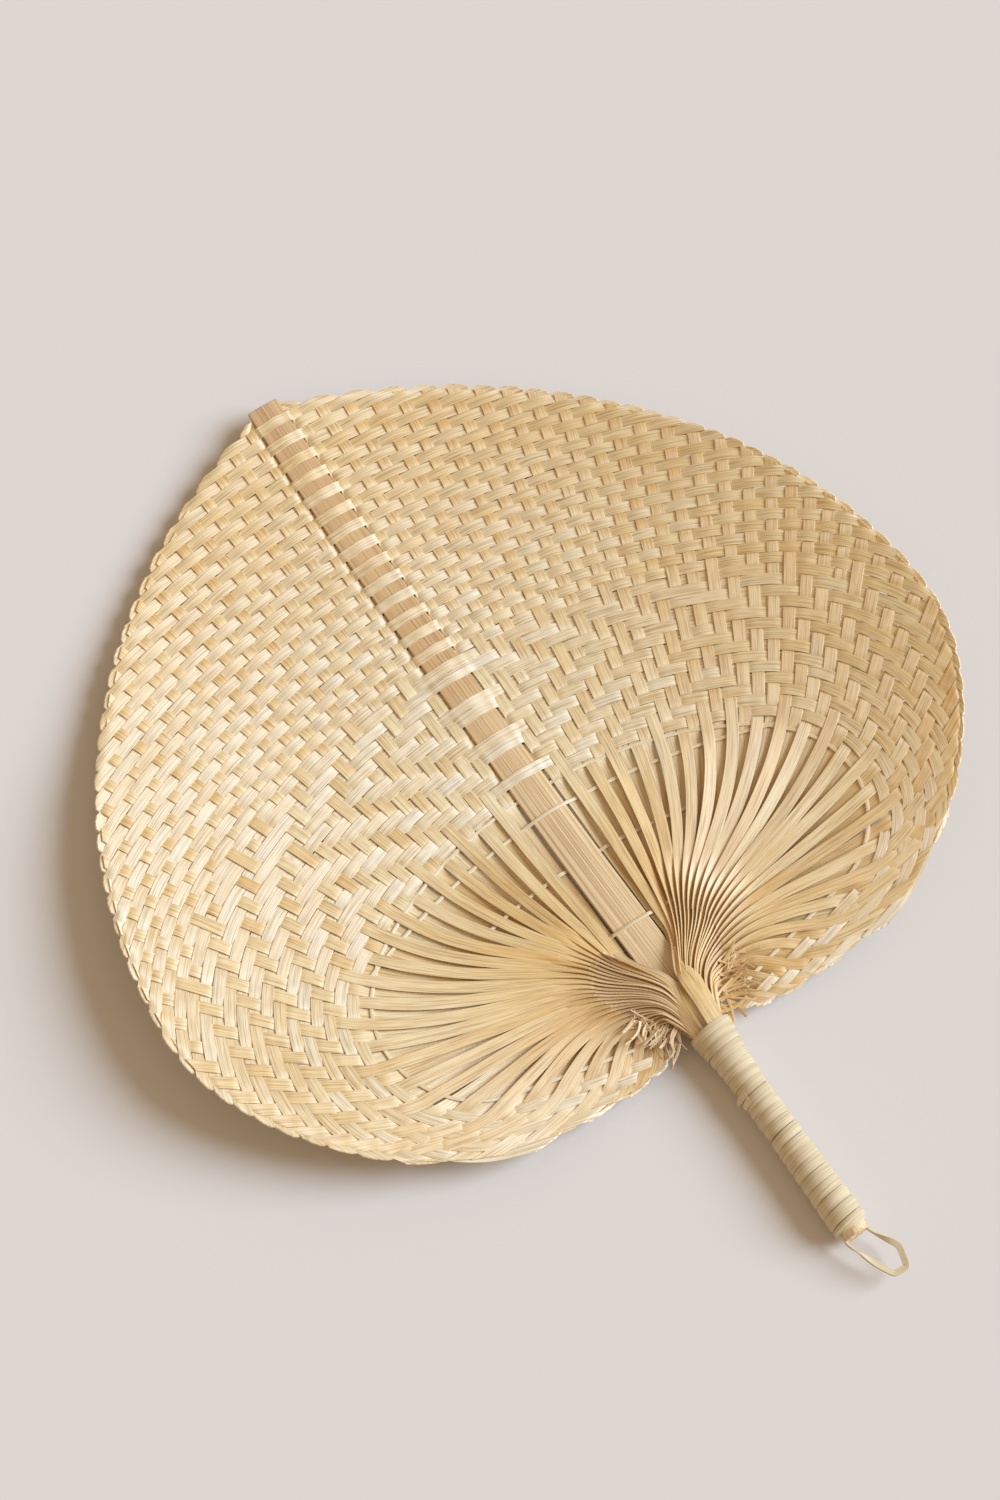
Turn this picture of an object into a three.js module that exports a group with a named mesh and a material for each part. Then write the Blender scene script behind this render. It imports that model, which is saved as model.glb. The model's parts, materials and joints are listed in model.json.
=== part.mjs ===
// Woven bamboo hand fan, lying face up: a heart-shaped blade on a flat rib, gathered into a wrapped handle.
// Millimetres. X runs across the blade, Y along the rib towards the tip, Z up out of the front face.
// In the functions below y = 0 is the throat, where the blade meets the top of the wrapped handle.

import * as THREE from "three";

// Clearance between pieces that touch on the real fan
const SEAT = 0.3;

// Strips
const STRIP_THICKNESS = 0.45;
const LAYER_GAP = 0.45; // air between the wefts and the warp layer above or below them
const WARP_WIDTH = 3.7;
const WEFT_WIDTH = 3.5;
const WEFT_GAP = 0.5;
const WEFT_COUNT = 43;
const WARPS_IN_SHEAF = 16;
const SHEAVES_A_SIDE = 3;

// Central rib
const RIB_THICKNESS = 2;
const RIB_WIDTH = 13.5;
const RIB_TIP_WIDTH = 11;
const RIB_TANG_WIDTH = 8; // where it is held in the handle
const RIB_TIP_Y = 284;
const RIB_SHOULDER_Y = 28; // the rib narrows from here down to the tang
const WARP_TO_RIB = 2.6; // bare gap beside the rib

// Dish of the blade: flat in the belly, raised at the sides, the tip and the throat
const SIDE_RISE = 20;
const TIP_RISE = 8;
const BELLY_HALF_WIDTH = 20;
const BELLY_TOP_Y = 190;
const BELLY_FOOT_Y = 95;

// Inner edge of the weave: a wide arc across the rib, then a lobe each side
const OPEN_TOP_Y = 107;
const LOBE_X = 55;
const LOBE_Y = 46;
const LOBE_RADIUS = 42.5;
const LOBE_END = THREE.MathUtils.degToRad(214); // direction of the last warp, from the rib's direction

// Rim of the right half: two cubic curves and a short straight foot
const RIM_TIP_Y = 281;
const RIM_TIP_ANGLE = THREE.MathUtils.degToRad(16.6);
const RIM_TIP_PULL = 100;
const RIM_HALF_WIDTH = 155;
const RIM_WIDEST_Y = 90;
const RIM_UPPER_PULL = 76;
const RIM_LOWER_PULL = 40;
const RIM_FOOT_X = 55;
const RIM_FOOT_Y = -4.5;
const RIM_FOOT_PULL = 53;
const RIM_END_X = 13;
const RIM_END_Y = 3;

// Pleated hub of each gather, where the warps turn on edge
const HUB_X = 22.5;
const HUB_Y = 27;
const HUB_RADIUS = 9;
const HUB_HEIGHT = 3.8;
const HUB_LEAN = THREE.MathUtils.degToRad(34); // direction of the bundle at the hub
const HUB_SPREAD = THREE.MathUtils.degToRad(188);
const PLEAT_DEPTH = 4;
const PLEAT_HEIGHT = 3.2;
const ROOT_PULL = 5; // how firmly a warp leaves its pleat
const EDGE_PULL = 0.45; // how firmly it meets the weave, as a share of its open length
const LEAN_FIRST = 0.25; // share of the hub's direction in the warp's run through the weave, by the rib
const LEAN_LAST = 0.75; // and at the throat

// Neck of each gather, between the handle and the hub
const NECK_Y = 11;
const NECK_HALF_WIDTH = 5;
const NECK_HALF_HEIGHT = 4;
const NECK_TURN = 0.8; // share of the hub's lean that the neck has
const BEND_SHARE = 0.45; // place of the bend between hub and neck
const BEND_HALF_WIDTH = 7;
const BEND_HALF_HEIGHT = 2.8;

// Spacer splints across the open zone
const SPLINT_WIDTH = 1.2;
const SPLINT_ARC = 180;
const EDGE_SPLINT_INSET = 2.6;
const EDGE_SPLINT_END = THREE.MathUtils.degToRad(170);
const UPPER_SPLINT_Y = 95.3;
const UPPER_SPLINT_REACH = 64;
const MIDDLE_SPLINT_Y = 74.5;
const MIDDLE_SPLINT_REACH = 42;
const LOWER_SPLINT_Y = 45;
const LOWER_SPLINT_REACH = 17;

// Handle
const GRIP_LENGTH = 86;
const GRIP_TOP_RADIUS = 7.2;
const GRIP_BUTT_RADIUS = 5.9;
const WRAP_THICKNESS = 0.6;
const WRAP_WIDTH = 3.6;
const WRAP_TURNS = 20;
const WRAP_STEPS = 16; // straight steps in a turn
const STRAP_SEAT = 1.4; // depth of the flat on the bundles that the throat straps lie on
const STRAP_WIDTH = 6.2;
const STRAP_TUCK_WIDTH = 2.4;
const STRAP_TUCK_LENGTH = 22;
const STRAP_HEAD_REACH = 3.6; // from the hub's inner corner to the strap's upper end
const STRAP_KNEE_Y = 24;
const STRAP_KNEE_X = 6.5;
const STRAP_FOLD_Y = 13;
const STRAP_FOLD_WIDTH = 5;
const STRAP_FOLD_SHIFT = 0.8;
const STRAP_FOLD_LIFT = 2.6; // over the bundles where they leave the handle
const STRAP_FOOT_Y = 4;
const TUCK_TOP_Y = 0.6;
const BUNDLE_TOP_Y = 2; // the bundles keep their round this far above the wrap

// Hang loop at the butt
const LOOP_STRIP_WIDTH = 2;
const LOOP_STRIP_THICKNESS = 0.9;
const LOOP_CLEARANCE = 0.6; // lets the loop swing without touching the butt
const LOOP_BENDS = [
  [-4.6, 0],
  [-0.4, 10.4],
  [2.4, 15.8],
  [7.4, 16.2],
  [9.4, 8.8],
  [4.4, 0],
]; // across, and down from its ends

// Straight steps of the curves
const RIM_STEPS = 40;
const WIDE_STEPS = 6;
const LOBE_STEPS = 12;
const SPLINT_STEPS = 3;
const RIB_STEPS = 12;
const LOOP_STEPS = 20;
const WARP_STEP = 29; // longest straight step of a warp in the weave
const OPEN_PLACES = [0.14, 0.4, 0.7, 1]; // places along a warp's open stretch, as shares of it
const ROUND_STEPS = 6; // on the outer half of a bundle's section
const INNER_POINTS = 4; // on its inner half

// Heights of the layers above the blade's middle surface
const LAYER_STEP = STRIP_THICKNESS + LAYER_GAP;
const RIB_FOOT = -STRIP_THICKNESS / 2;
const RIB_TOP = RIB_FOOT + RIB_THICKNESS;
const RIB_MIDDLE = (RIB_FOOT + RIB_TOP) / 2;
const OVER_RIB = RIB_TOP + SEAT + STRIP_THICKNESS / 2;
const UNDER_RIB = RIB_FOOT - SEAT - STRIP_THICKNESS / 2;
const BLADE_UNDERSIDE = -LAYER_STEP - STRIP_THICKNESS / 2;
const THROAT_RISE = GRIP_TOP_RADIUS - RIB_MIDDLE + BLADE_UNDERSIDE; // grip and belly lie on one plane
const GRIP_AXIS_Z = THROAT_RISE + RIB_MIDDLE;

// Shape of the inner edge of the weave
const LOBE_RISE = OPEN_TOP_Y - LOBE_Y;
const WIDE_RADIUS =
  (LOBE_X ** 2 + LOBE_RISE ** 2 - LOBE_RADIUS ** 2) / (2 * (LOBE_RISE - LOBE_RADIUS));
const WIDE_CENTRE_Y = OPEN_TOP_Y - WIDE_RADIUS;
const WIDE_END = Math.atan2(LOBE_X, LOBE_Y - WIDE_CENTRE_Y);
const WEFT_PITCH = WEFT_WIDTH + WEFT_GAP;
const FIRST_WARP_X = RIB_WIDTH / 2 + WARP_TO_RIB + WARP_WIDTH / 2;
const WARPS_A_SIDE = WARPS_IN_SHEAF * SHEAVES_A_SIDE;

const smooth = (t) => THREE.MathUtils.smoothstep(t, 0, 1);
const point = (x, y, z) => new THREE.Vector3(x, y, z);
const heading = (angle) => new THREE.Vector2(Math.sin(angle), Math.cos(angle));

// Height of the blade's middle surface over the belly.
function bladeHeight(x, y) {
  const side = Math.max(0, Math.abs(x) - BELLY_HALF_WIDTH) / (RIM_HALF_WIDTH - BELLY_HALF_WIDTH);
  const tip = Math.max(0, y - BELLY_TOP_Y) / (RIB_TIP_Y - BELLY_TOP_Y);
  const throat = smooth((BELLY_FOOT_Y - y) / BELLY_FOOT_Y);
  return SIDE_RISE * side ** 2 + TIP_RISE * tip ** 2 + THROAT_RISE * throat;
}

// Half the width of the rib at y.
function ribHalfWidth(y) {
  const tang = smooth((RIB_SHOULDER_Y - y) / RIB_SHOULDER_Y);
  const tip = Math.max(0, (y - OPEN_TOP_Y) / (RIB_TIP_Y - OPEN_TOP_Y));
  const blade = THREE.MathUtils.lerp(RIB_WIDTH, RIB_TIP_WIDTH, tip);
  return THREE.MathUtils.lerp(blade, RIB_TANG_WIDTH, tang) / 2;
}

// A point of the weave's inner edge, or of a curve that runs a distance outside it.
// The angle is the edge's outward direction, measured from the rib's.
function edgePoint(angle, distance) {
  const size = Math.abs(angle);
  const inLobe = size > WIDE_END;
  const centre = inLobe
    ? new THREE.Vector2(Math.sign(angle) * LOBE_X, LOBE_Y)
    : new THREE.Vector2(0, WIDE_CENTRE_Y);
  const radius = (inLobe ? LOBE_RADIUS : WIDE_RADIUS) + distance;
  return centre.addScaledVector(heading(angle), radius);
}

// The outward direction of the inner edge at a length along it from the rib.
function edgeAngle(length) {
  const wide = WIDE_RADIUS * WIDE_END;
  return length < wide ? length / WIDE_RADIUS : WIDE_END + (length - wide) / LOBE_RADIUS;
}

// The rim of the right half as a closed outline back along the rib.
function rimOutline() {
  const tip = new THREE.Vector2(RIB_TIP_WIDTH / 2, RIM_TIP_Y);
  const slope = heading(Math.PI / 2 + RIM_TIP_ANGLE);
  const outline = new THREE.Path();
  outline.moveTo(0, RIM_TIP_Y);
  outline.lineTo(tip.x, tip.y);
  outline.bezierCurveTo(
    tip.x + RIM_TIP_PULL * slope.x,
    tip.y + RIM_TIP_PULL * slope.y,
    RIM_HALF_WIDTH,
    RIM_WIDEST_Y + RIM_UPPER_PULL,
    RIM_HALF_WIDTH,
    RIM_WIDEST_Y,
  );
  outline.bezierCurveTo(
    RIM_HALF_WIDTH,
    RIM_WIDEST_Y - RIM_LOWER_PULL,
    RIM_FOOT_X + RIM_FOOT_PULL,
    RIM_FOOT_Y,
    RIM_FOOT_X,
    RIM_FOOT_Y,
  );
  outline.lineTo(RIM_END_X, RIM_END_Y);
  outline.lineTo(0, RIM_END_Y);
  return outline.getPoints(RIM_STEPS);
}

const RIM = rimOutline();

// True where a point of the right half lies inside the rim.
function insideRim({ x, y }) {
  let inside = false;
  RIM.forEach((a, i) => {
    const b = RIM[(i + 1) % RIM.length];
    if (a.y > y === b.y > y) return;
    if (x < a.x + ((y - a.y) / (b.y - a.y)) * (b.x - a.x)) inside = !inside;
  });
  return inside;
}

// The largest value up to the limit whose point still lies inside the rim.
function reachRim(pointAt, limit, step) {
  let low = 0;
  while (low + step < limit && insideRim(pointAt(low + step))) low += step;
  let high = Math.min(limit, low + step);
  if (insideRim(pointAt(high))) return high;
  for (let i = 0; i < 20; i++) {
    const middle = (low + high) / 2;
    if (insideRim(pointAt(middle))) low = middle;
    else high = middle;
  }
  return low;
}

// A geometry of the given points and triangles, turned to face out.
function solid(points, triangles) {
  const volume = triangles.reduce((sum, [a, b, c]) => {
    const cross = points[b].clone().cross(points[c]);
    return sum + points[a].dot(cross);
  }, 0);
  const facing = volume < 0 ? triangles.map(([a, b, c]) => [a, c, b]) : triangles;
  const geometry = new THREE.BufferGeometry().setFromPoints(points);
  geometry.setIndex(facing.flat());
  geometry.computeVertexNormals();
  return geometry;
}

// Two triangles of a four-cornered face.
const quad = (a, b, c, d) => [
  [a, b, c],
  [a, c, d],
];

// A closed solid through a row of rings with as many points each, capped at both ends.
function loft(rings, cap) {
  const size = rings[0].length;
  const triangles = [];
  for (let r = 0; r + 1 < rings.length; r++)
    for (let p = 0; p < size; p++) {
      const next = (p + 1) % size;
      const near = r * size;
      triangles.push(...quad(near + p, near + next, near + size + next, near + size + p));
    }
  const last = (rings.length - 1) * size;
  for (const [a, b, c] of cap) {
    triangles.push([a, c, b]);
    triangles.push([last + a, last + b, last + c]);
  }
  return solid(rings.flat(), triangles);
}

const FLAT_CAP = quad(0, 1, 2, 3);

// Corners of a flat section, as sides of its middle
const CORNERS = [
  [-1, 1],
  [1, 1],
  [1, -1],
  [-1, -1],
];

// Triangles that close a ring with hollows, in the ring's own order. The ring stands square to the rib.
function hollowCap(ring) {
  const contour = ring.map((p) => new THREE.Vector2(p.x, p.z));
  const clockwise = THREE.ShapeUtils.isClockWise(contour);
  return THREE.ShapeUtils.triangulateShape(contour, []).map((corners) => {
    const same = THREE.ShapeUtils.isClockWise(corners.map((i) => contour[i])) === clockwise;
    return same ? corners : corners.toReversed();
  });
}

// Section of a flat strip across the blade: its two edges in plan, and its middle over the blade's surface.
function stripSection(left, right, height, thickness) {
  const corner = (edge, up) =>
    point(edge.x, edge.y, bladeHeight(edge.x, edge.y) + height + (up * thickness) / 2);
  return [corner(left, 1), corner(right, 1), corner(right, -1), corner(left, -1)];
}

// Height of a cross strip: level between the warp layers, and over or under the rib.
function crossHeight(x, y, over) {
  const start = ribHalfWidth(y) + SEAT;
  const end = ribHalfWidth(y) + WARP_TO_RIB - SEAT;
  const share = THREE.MathUtils.clamp((end - Math.abs(x)) / (end - start), 0, 1);
  return share * (over ? OVER_RIB : UNDER_RIB);
}

// A strip across the rib. The places run from the rib outwards, and planAt gives its plan at a place and offset.
function crossStrip(places, planAt, width, over) {
  const both = [...places.slice(1).map((place) => -place).reverse(), ...places];
  const rings = both.map((place) => {
    const middle = planAt(place, 0);
    const height = crossHeight(middle.x, middle.y, over);
    return stripSection(planAt(place, width / 2), planAt(place, -width / 2), height, STRIP_THICKNESS);
  });
  return loft(rings, FLAT_CAP);
}

// Places along a cross strip: the bend at the rib, then even steps out to its end.
function crossPlaces(bends, steps, end) {
  const clear = (bends[1] - bends[0]) / 2;
  const far = [...steps.filter((step) => step > bends[1] + clear && step < end - clear), end];
  return [0, ...bends, ...far];
}

// Even steps of angle along the weave's inner edge, shared by all wefts so that they stay parallel.
function edgeSteps() {
  const wide = Array.from({ length: WIDE_STEPS }, (_, i) => ((i + 1) * WIDE_END) / WIDE_STEPS);
  const turn = (LOBE_END - WIDE_END) / LOBE_STEPS;
  return [...wide, ...Array.from({ length: LOBE_STEPS }, (_, i) => WIDE_END + (i + 1) * turn)];
}

const EDGE_STEPS = edgeSteps();

// A cross strip that follows the weave's inner edge at a distance, up to an angle or the rim.
function edgeStrip(distance, width, over, limit) {
  const onEdge = (angle) => edgePoint(angle, distance);
  const end = reachRim(onEdge, limit, THREE.MathUtils.degToRad(1));
  const radius = WIDE_RADIUS + distance;
  const half = ribHalfWidth(OPEN_TOP_Y + distance);
  const bends = [half + SEAT, half + WARP_TO_RIB - SEAT].map((x) => Math.asin(x / radius));
  const places = crossPlaces(bends, EDGE_STEPS, end);
  return crossStrip(places, (angle, offset) => edgePoint(angle, distance + offset), width, over);
}

// A short splint straight over the open zone on a flat arc.
function arcSplint(y, reach, over) {
  const half = ribHalfWidth(y);
  const bends = [half + SEAT, half + WARP_TO_RIB - SEAT];
  const steps = Array.from({ length: SPLINT_STEPS }, (_, i) => ((i + 1) * reach) / SPLINT_STEPS);
  const planAt = (x, offset) => new THREE.Vector2(x, y + offset - x ** 2 / (2 * SPLINT_ARC));
  return crossStrip(crossPlaces(bends, steps, reach), planAt, SPLINT_WIDTH, over);
}

// Plan of one warp of the right half: its direction at the hub, then points from the pleat to the rim.
function warpPlan(index) {
  const share = (index + 0.5) / WARPS_A_SIDE;
  const out = heading(HUB_LEAN + HUB_SPREAD * (share - 0.5));
  const hub = new THREE.Vector2(HUB_X, HUB_Y);
  const root = hub.clone().addScaledVector(out, HUB_RADIUS + PLEAT_DEPTH);
  const lobeLength = LOBE_RADIUS * (LOBE_END - WIDE_END);
  const edgeLength = WIDE_RADIUS * WIDE_END + lobeLength - FIRST_WARP_X;
  const angle = edgeAngle(FIRST_WARP_X + (edgeLength * index) / (WARPS_A_SIDE - 1));
  const edge = edgePoint(angle, 0);
  const radial = edge.clone().sub(hub).normalize();
  const lean = THREE.MathUtils.lerp(LEAN_FIRST, LEAN_LAST, share);
  const run = heading(angle).lerp(radial, index === 0 ? 0 : lean).normalize();
  const reach = root.distanceTo(edge);
  const open = new THREE.CubicBezierCurve(
    root,
    root.clone().addScaledVector(out, ROOT_PULL / 3),
    edge.clone().addScaledVector(run, -EDGE_PULL * reach),
    edge,
  );
  const points = OPEN_PLACES.map((t) => open.getPoint(t));
  const along = (length) => edge.clone().addScaledVector(run, length);
  const woven = reachRim(along, RIB_TIP_Y, WEFT_PITCH);
  const steps = Math.ceil(woven / WARP_STEP);
  for (let i = 1; i <= steps; i++) points.push(along((woven * i) / steps));
  return points;
}

// Sections of one warp past its pleat, alternately in the upper and the lower layer.
function warpSections(plans, index) {
  const plan = plans[index];
  const layer = index % 2 === 0 ? -LAYER_STEP : LAYER_STEP;
  return plan.map((here, row) => {
    const before = plan[Math.max(0, row - 1)];
    const after = plan[Math.min(plan.length - 1, row + 1)];
    const across = new THREE.Vector2(after.y - before.y, before.x - after.x).normalize();
    const beside = [index - 1, index + 1].map((i) => plans[i]?.[row]).filter(Boolean);
    const spacing = beside.map((other) => Math.abs(other.clone().sub(here).dot(across)));
    const crowded = row < OPEN_PLACES.length - 1;
    const width = crowded ? Math.min(WARP_WIDTH, ...spacing.map((s) => s - SEAT)) : WARP_WIDTH;
    const left = here.clone().addScaledVector(across, -width / 2);
    const right = here.clone().addScaledVector(across, width / 2);
    return stripSection(left, right, layer, STRIP_THICKNESS);
  });
}

// One sheaf: warps that share their pleated root and then part. Neighbours share an edge for the first two rows.
function sheaf(plans, first, side) {
  const points = [];
  const add = (p) => points.push(point(side * p.x, p.y, p.z)) - 1;
  const gap = SEAT / 2 / HUB_RADIUS;
  const span = HUB_SPREAD / SHEAVES_A_SIDE;
  const start = HUB_LEAN - HUB_SPREAD / 2 + (first / WARPS_A_SIDE) * HUB_SPREAD;
  const rootEdge = (edge, radius) => {
    const angle = start + gap + ((span - 2 * gap) * edge) / WARPS_IN_SHEAF;
    const plan = heading(angle).multiplyScalar(radius).add(new THREE.Vector2(HUB_X, HUB_Y));
    const z = bladeHeight(plan.x, plan.y);
    return [PLEAT_HEIGHT / 2, -PLEAT_HEIGHT / 2].map((up) => add(point(plan.x, plan.y, z + up)));
  };
  const radii = [HUB_RADIUS + SEAT, HUB_RADIUS + PLEAT_DEPTH];
  const shared = radii.map((radius) =>
    Array.from({ length: WARPS_IN_SHEAF + 1 }, (_, edge) => rootEdge(edge, radius)),
  );
  const triangles = [];
  for (let i = 0; i < WARPS_IN_SHEAF; i++) {
    const corners = shared.map((row) => [row[i][0], row[i + 1][0], row[i + 1][1], row[i][1]]);
    for (const ring of warpSections(plans, first + i)) corners.push(ring.map(add));
    triangles.push(...quad(...corners[0].toReversed()));
    triangles.push(...quad(...corners.at(-1)));
    for (let row = 0; row + 1 < corners.length; row++)
      for (let face = 0; face < 4; face++) {
        const inner = (face === 1 && i < WARPS_IN_SHEAF - 1) || (face === 3 && i > 0);
        if (row === 0 && inner) continue; // neighbours are still joined here
        const next = (face + 1) % 4;
        const [near, far] = [corners[row], corners[row + 1]];
        triangles.push(...quad(near[face], near[next], far[next], far[face]));
      }
  }
  return solid(points, triangles);
}

// The rib, from the butt of the handle to its square-cut tip.
function centralRib() {
  const blade = Array.from({ length: RIB_STEPS + 1 }, (_, i) => (RIB_TIP_Y * i) / RIB_STEPS);
  const rings = [-GRIP_LENGTH, ...blade].map((y) => {
    const half = ribHalfWidth(y);
    const [left, right] = [-half, half].map((x) => new THREE.Vector2(x, y));
    return stripSection(left, right, RIB_MIDDLE, RIB_THICKNESS);
  });
  return loft(rings, FLAT_CAP);
}

// Radius of the bundles in the handle, inside the wrap's flat steps.
function bundleRadius(y) {
  const outer = THREE.MathUtils.lerp(GRIP_TOP_RADIUS, GRIP_BUTT_RADIUS, -y / GRIP_LENGTH);
  return (outer - WRAP_THICKNESS) * Math.cos(Math.PI / WRAP_STEPS) - SEAT;
}

// Section of a bundle in the handle: half a round, with a slot for the rib's tang and a flat for the straps.
function gripSection(y) {
  const radius = bundleRadius(y);
  const split = SEAT / 2;
  const slot = [RIB_TANG_WIDTH / 2 + SEAT, RIB_THICKNESS / 2 + SEAT];
  const outer = Array.from({ length: ROUND_STEPS + 1 }, (_, i) => {
    const angle = Math.PI / 2 - (Math.PI * i) / ROUND_STEPS;
    return [Math.max(split, radius * Math.cos(angle)), radius * Math.sin(angle)];
  });
  const inner = [
    [split, -slot[1]],
    slot.map((size, i) => (i === 0 ? size : -size)),
    slot,
    [split, slot[1]],
  ];
  const flat = radius - STRAP_SEAT;
  return [...outer, ...inner].map(([x, z]) => point(x, y, GRIP_AXIS_Z + Math.min(z, flat)));
}

// Oval section of a bundle above the handle, square to its direction.
function neckSection(centre, lean, halfWidth, halfHeight, lift) {
  const across = heading(lean + Math.PI / 2);
  const top = Math.PI / 2;
  const outer = Array.from({ length: ROUND_STEPS + 1 }, (_, i) => top - (Math.PI * i) / ROUND_STEPS);
  const innerStep = Math.PI / (INNER_POINTS + 1);
  const inner = Array.from({ length: INNER_POINTS }, (_, i) => -top - (i + 1) * innerStep);
  return [...outer, ...inner].map((angle) => {
    const plan = centre.clone().addScaledVector(across, halfWidth * Math.cos(angle));
    const z = bladeHeight(centre.x, centre.y) + lift + halfHeight * Math.sin(angle);
    return point(plan.x, plan.y, z);
  });
}

// One gather: the bundle of strip roots, from the butt of the handle up to its pleated hub.
function gather(side) {
  const hub = new THREE.Vector2(HUB_X, HUB_Y);
  const along = heading(HUB_LEAN);
  const neck = new THREE.Vector2(ribHalfWidth(NECK_Y) + SEAT + NECK_HALF_WIDTH, NECK_Y);
  const bend = hub.clone().lerp(neck, BEND_SHARE);
  const hubSection = (share) =>
    neckSection(
      hub.clone().addScaledVector(along, HUB_RADIUS * share),
      HUB_LEAN,
      HUB_RADIUS * Math.sqrt(1 - share ** 2),
      HUB_HEIGHT / 2,
      0,
    );
  const rings = [
    gripSection(-GRIP_LENGTH),
    gripSection(0),
    gripSection(BUNDLE_TOP_Y),
    neckSection(neck, HUB_LEAN * NECK_TURN, NECK_HALF_WIDTH, NECK_HALF_HEIGHT, RIB_MIDDLE),
    neckSection(bend, HUB_LEAN, BEND_HALF_WIDTH, BEND_HALF_HEIGHT, RIB_MIDDLE / 2),
    hubSection(0),
    hubSection(0.7),
    hubSection(0.95),
  ];
  const placed = rings.map((ring) => ring.map((p) => point(side * p.x, p.y, p.z)));
  return loft(placed, hollowCap(rings[0]));
}

// A broad strip from the hub's inner corner over the rib's foot, tucked under the wrap.
function throatStrap(side) {
  const seat = (y) => GRIP_AXIS_Z + bundleRadius(y) - STRAP_SEAT + SEAT + STRIP_THICKNESS / 2;
  const overRib = (x, y) => bladeHeight(x, y) + OVER_RIB;
  const inner = heading(HUB_LEAN - Math.PI / 2).multiplyScalar(HUB_RADIUS + STRAP_HEAD_REACH);
  const head = inner.add(new THREE.Vector2(HUB_X, HUB_Y));
  const tuck = SEAT / 2 + STRAP_TUCK_WIDTH / 2;
  const broad = SEAT / 2 + STRAP_WIDTH / 2;
  const fold = broad + STRAP_FOLD_SHIFT;
  const stations = [
    [head.x, head.y, STRAP_TUCK_WIDTH, overRib(head.x, head.y)],
    [STRAP_KNEE_X, STRAP_KNEE_Y, STRAP_TUCK_WIDTH, overRib(STRAP_KNEE_X, STRAP_KNEE_Y)],
    [fold, STRAP_FOLD_Y, STRAP_FOLD_WIDTH, overRib(fold, STRAP_FOLD_Y) + STRAP_FOLD_LIFT],
    [broad, STRAP_FOOT_Y, STRAP_WIDTH, seat(0)],
    [tuck, TUCK_TOP_Y, STRAP_TUCK_WIDTH, seat(0)],
    [tuck, -STRAP_TUCK_LENGTH, STRAP_TUCK_WIDTH, seat(-STRAP_TUCK_LENGTH)],
  ];
  const rings = stations.map(([x, y, width, z]) =>
    CORNERS.map(([right, up]) =>
      point(side * (x + (right * width) / 2), y, z + (up * STRIP_THICKNESS) / 2),
    ),
  );
  return loft(rings, FLAT_CAP);
}

// The wrap: one flat strip wound round the handle from the butt to the throat.
function gripWrap() {
  const pitch = (GRIP_LENGTH - WRAP_WIDTH) / WRAP_TURNS;
  const count = WRAP_TURNS * WRAP_STEPS;
  const rings = Array.from({ length: count + 1 }, (_, i) => {
    const turn = i / WRAP_STEPS;
    const angle = 2 * Math.PI * turn;
    const middle = WRAP_WIDTH / 2 + pitch * turn - GRIP_LENGTH;
    const outer = THREE.MathUtils.lerp(GRIP_TOP_RADIUS, GRIP_BUTT_RADIUS, -middle / GRIP_LENGTH);
    return [
      [WRAP_WIDTH / 2, outer],
      [-WRAP_WIDTH / 2, outer],
      [-WRAP_WIDTH / 2, outer - WRAP_THICKNESS],
      [WRAP_WIDTH / 2, outer - WRAP_THICKNESS],
    ].map(([along, radius]) =>
      point(
        radius * Math.cos(angle),
        middle + along,
        GRIP_AXIS_Z + radius * Math.sin(angle),
      ),
    );
  });
  console.log(`grip wrap: least gap between turns ${leastGap(rings).toFixed(2)} mm`);
  return loft(rings, FLAT_CAP);
}

// The least distance between the points of a winding half a turn or more apart.
function leastGap(rings) {
  let least = Infinity;
  rings.forEach((ring, i) => {
    for (const other of rings.slice(i + WRAP_STEPS / 2, i + 2 * WRAP_STEPS))
      for (const a of ring) for (const b of other) least = Math.min(least, a.distanceTo(b));
  });
  return least;
}

// The hang loop: a narrow strip on edge, bent round from one side of the butt to the other.
function hangLoop() {
  const end = -GRIP_LENGTH - LOOP_CLEARANCE;
  const bends = LOOP_BENDS.map(([x, down]) => point(x, end - down, GRIP_AXIS_Z));
  const route = new THREE.CatmullRomCurve3(bends, false, "centripetal");
  const up = point(0, 0, LOOP_STRIP_WIDTH / 2);
  const rings = Array.from({ length: LOOP_STEPS + 1 }, (_, i) => {
    const here = route.getPointAt(i / LOOP_STEPS);
    const ahead = route.getTangentAt(i / LOOP_STEPS);
    if (i === 0) ahead.set(0, -1, 0); // both ends stand square to the butt
    if (i === LOOP_STEPS) ahead.set(0, 1, 0);
    const across = point(ahead.y, -ahead.x, 0).setLength(LOOP_STRIP_THICKNESS / 2);
    return CORNERS.map(([right, high]) =>
      here.clone().addScaledVector(across, right).addScaledVector(up, high),
    );
  });
  return loft(rings, FLAT_CAP);
}

const bamboo = (color, roughness) => new THREE.MeshStandardMaterial({ color, roughness, metalness: 0 });
const WEFT_FINISH = bamboo(0xead9ae, 0.55);
const WARP_FINISH = bamboo(0xdcbf83, 0.6);
const RIB_FINISH = bamboo(0xc8a36a, 0.6);
const GATHER_FINISH = bamboo(0xc99a52, 0.65);
const WRAP_FINISH = bamboo(0xdccd9f, 0.5);
const LOOP_FINISH = bamboo(0xc6aa72, 0.5);

const fan = new THREE.Group();

function place(name, geometry, finish) {
  const mesh = new THREE.Mesh(geometry, finish);
  mesh.name = name;
  fan.add(mesh);
}

place("central_rib", centralRib(), RIB_FINISH);
place("grip_wrap", gripWrap(), WRAP_FINISH);
place("hang_loop", hangLoop(), LOOP_FINISH);

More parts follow.
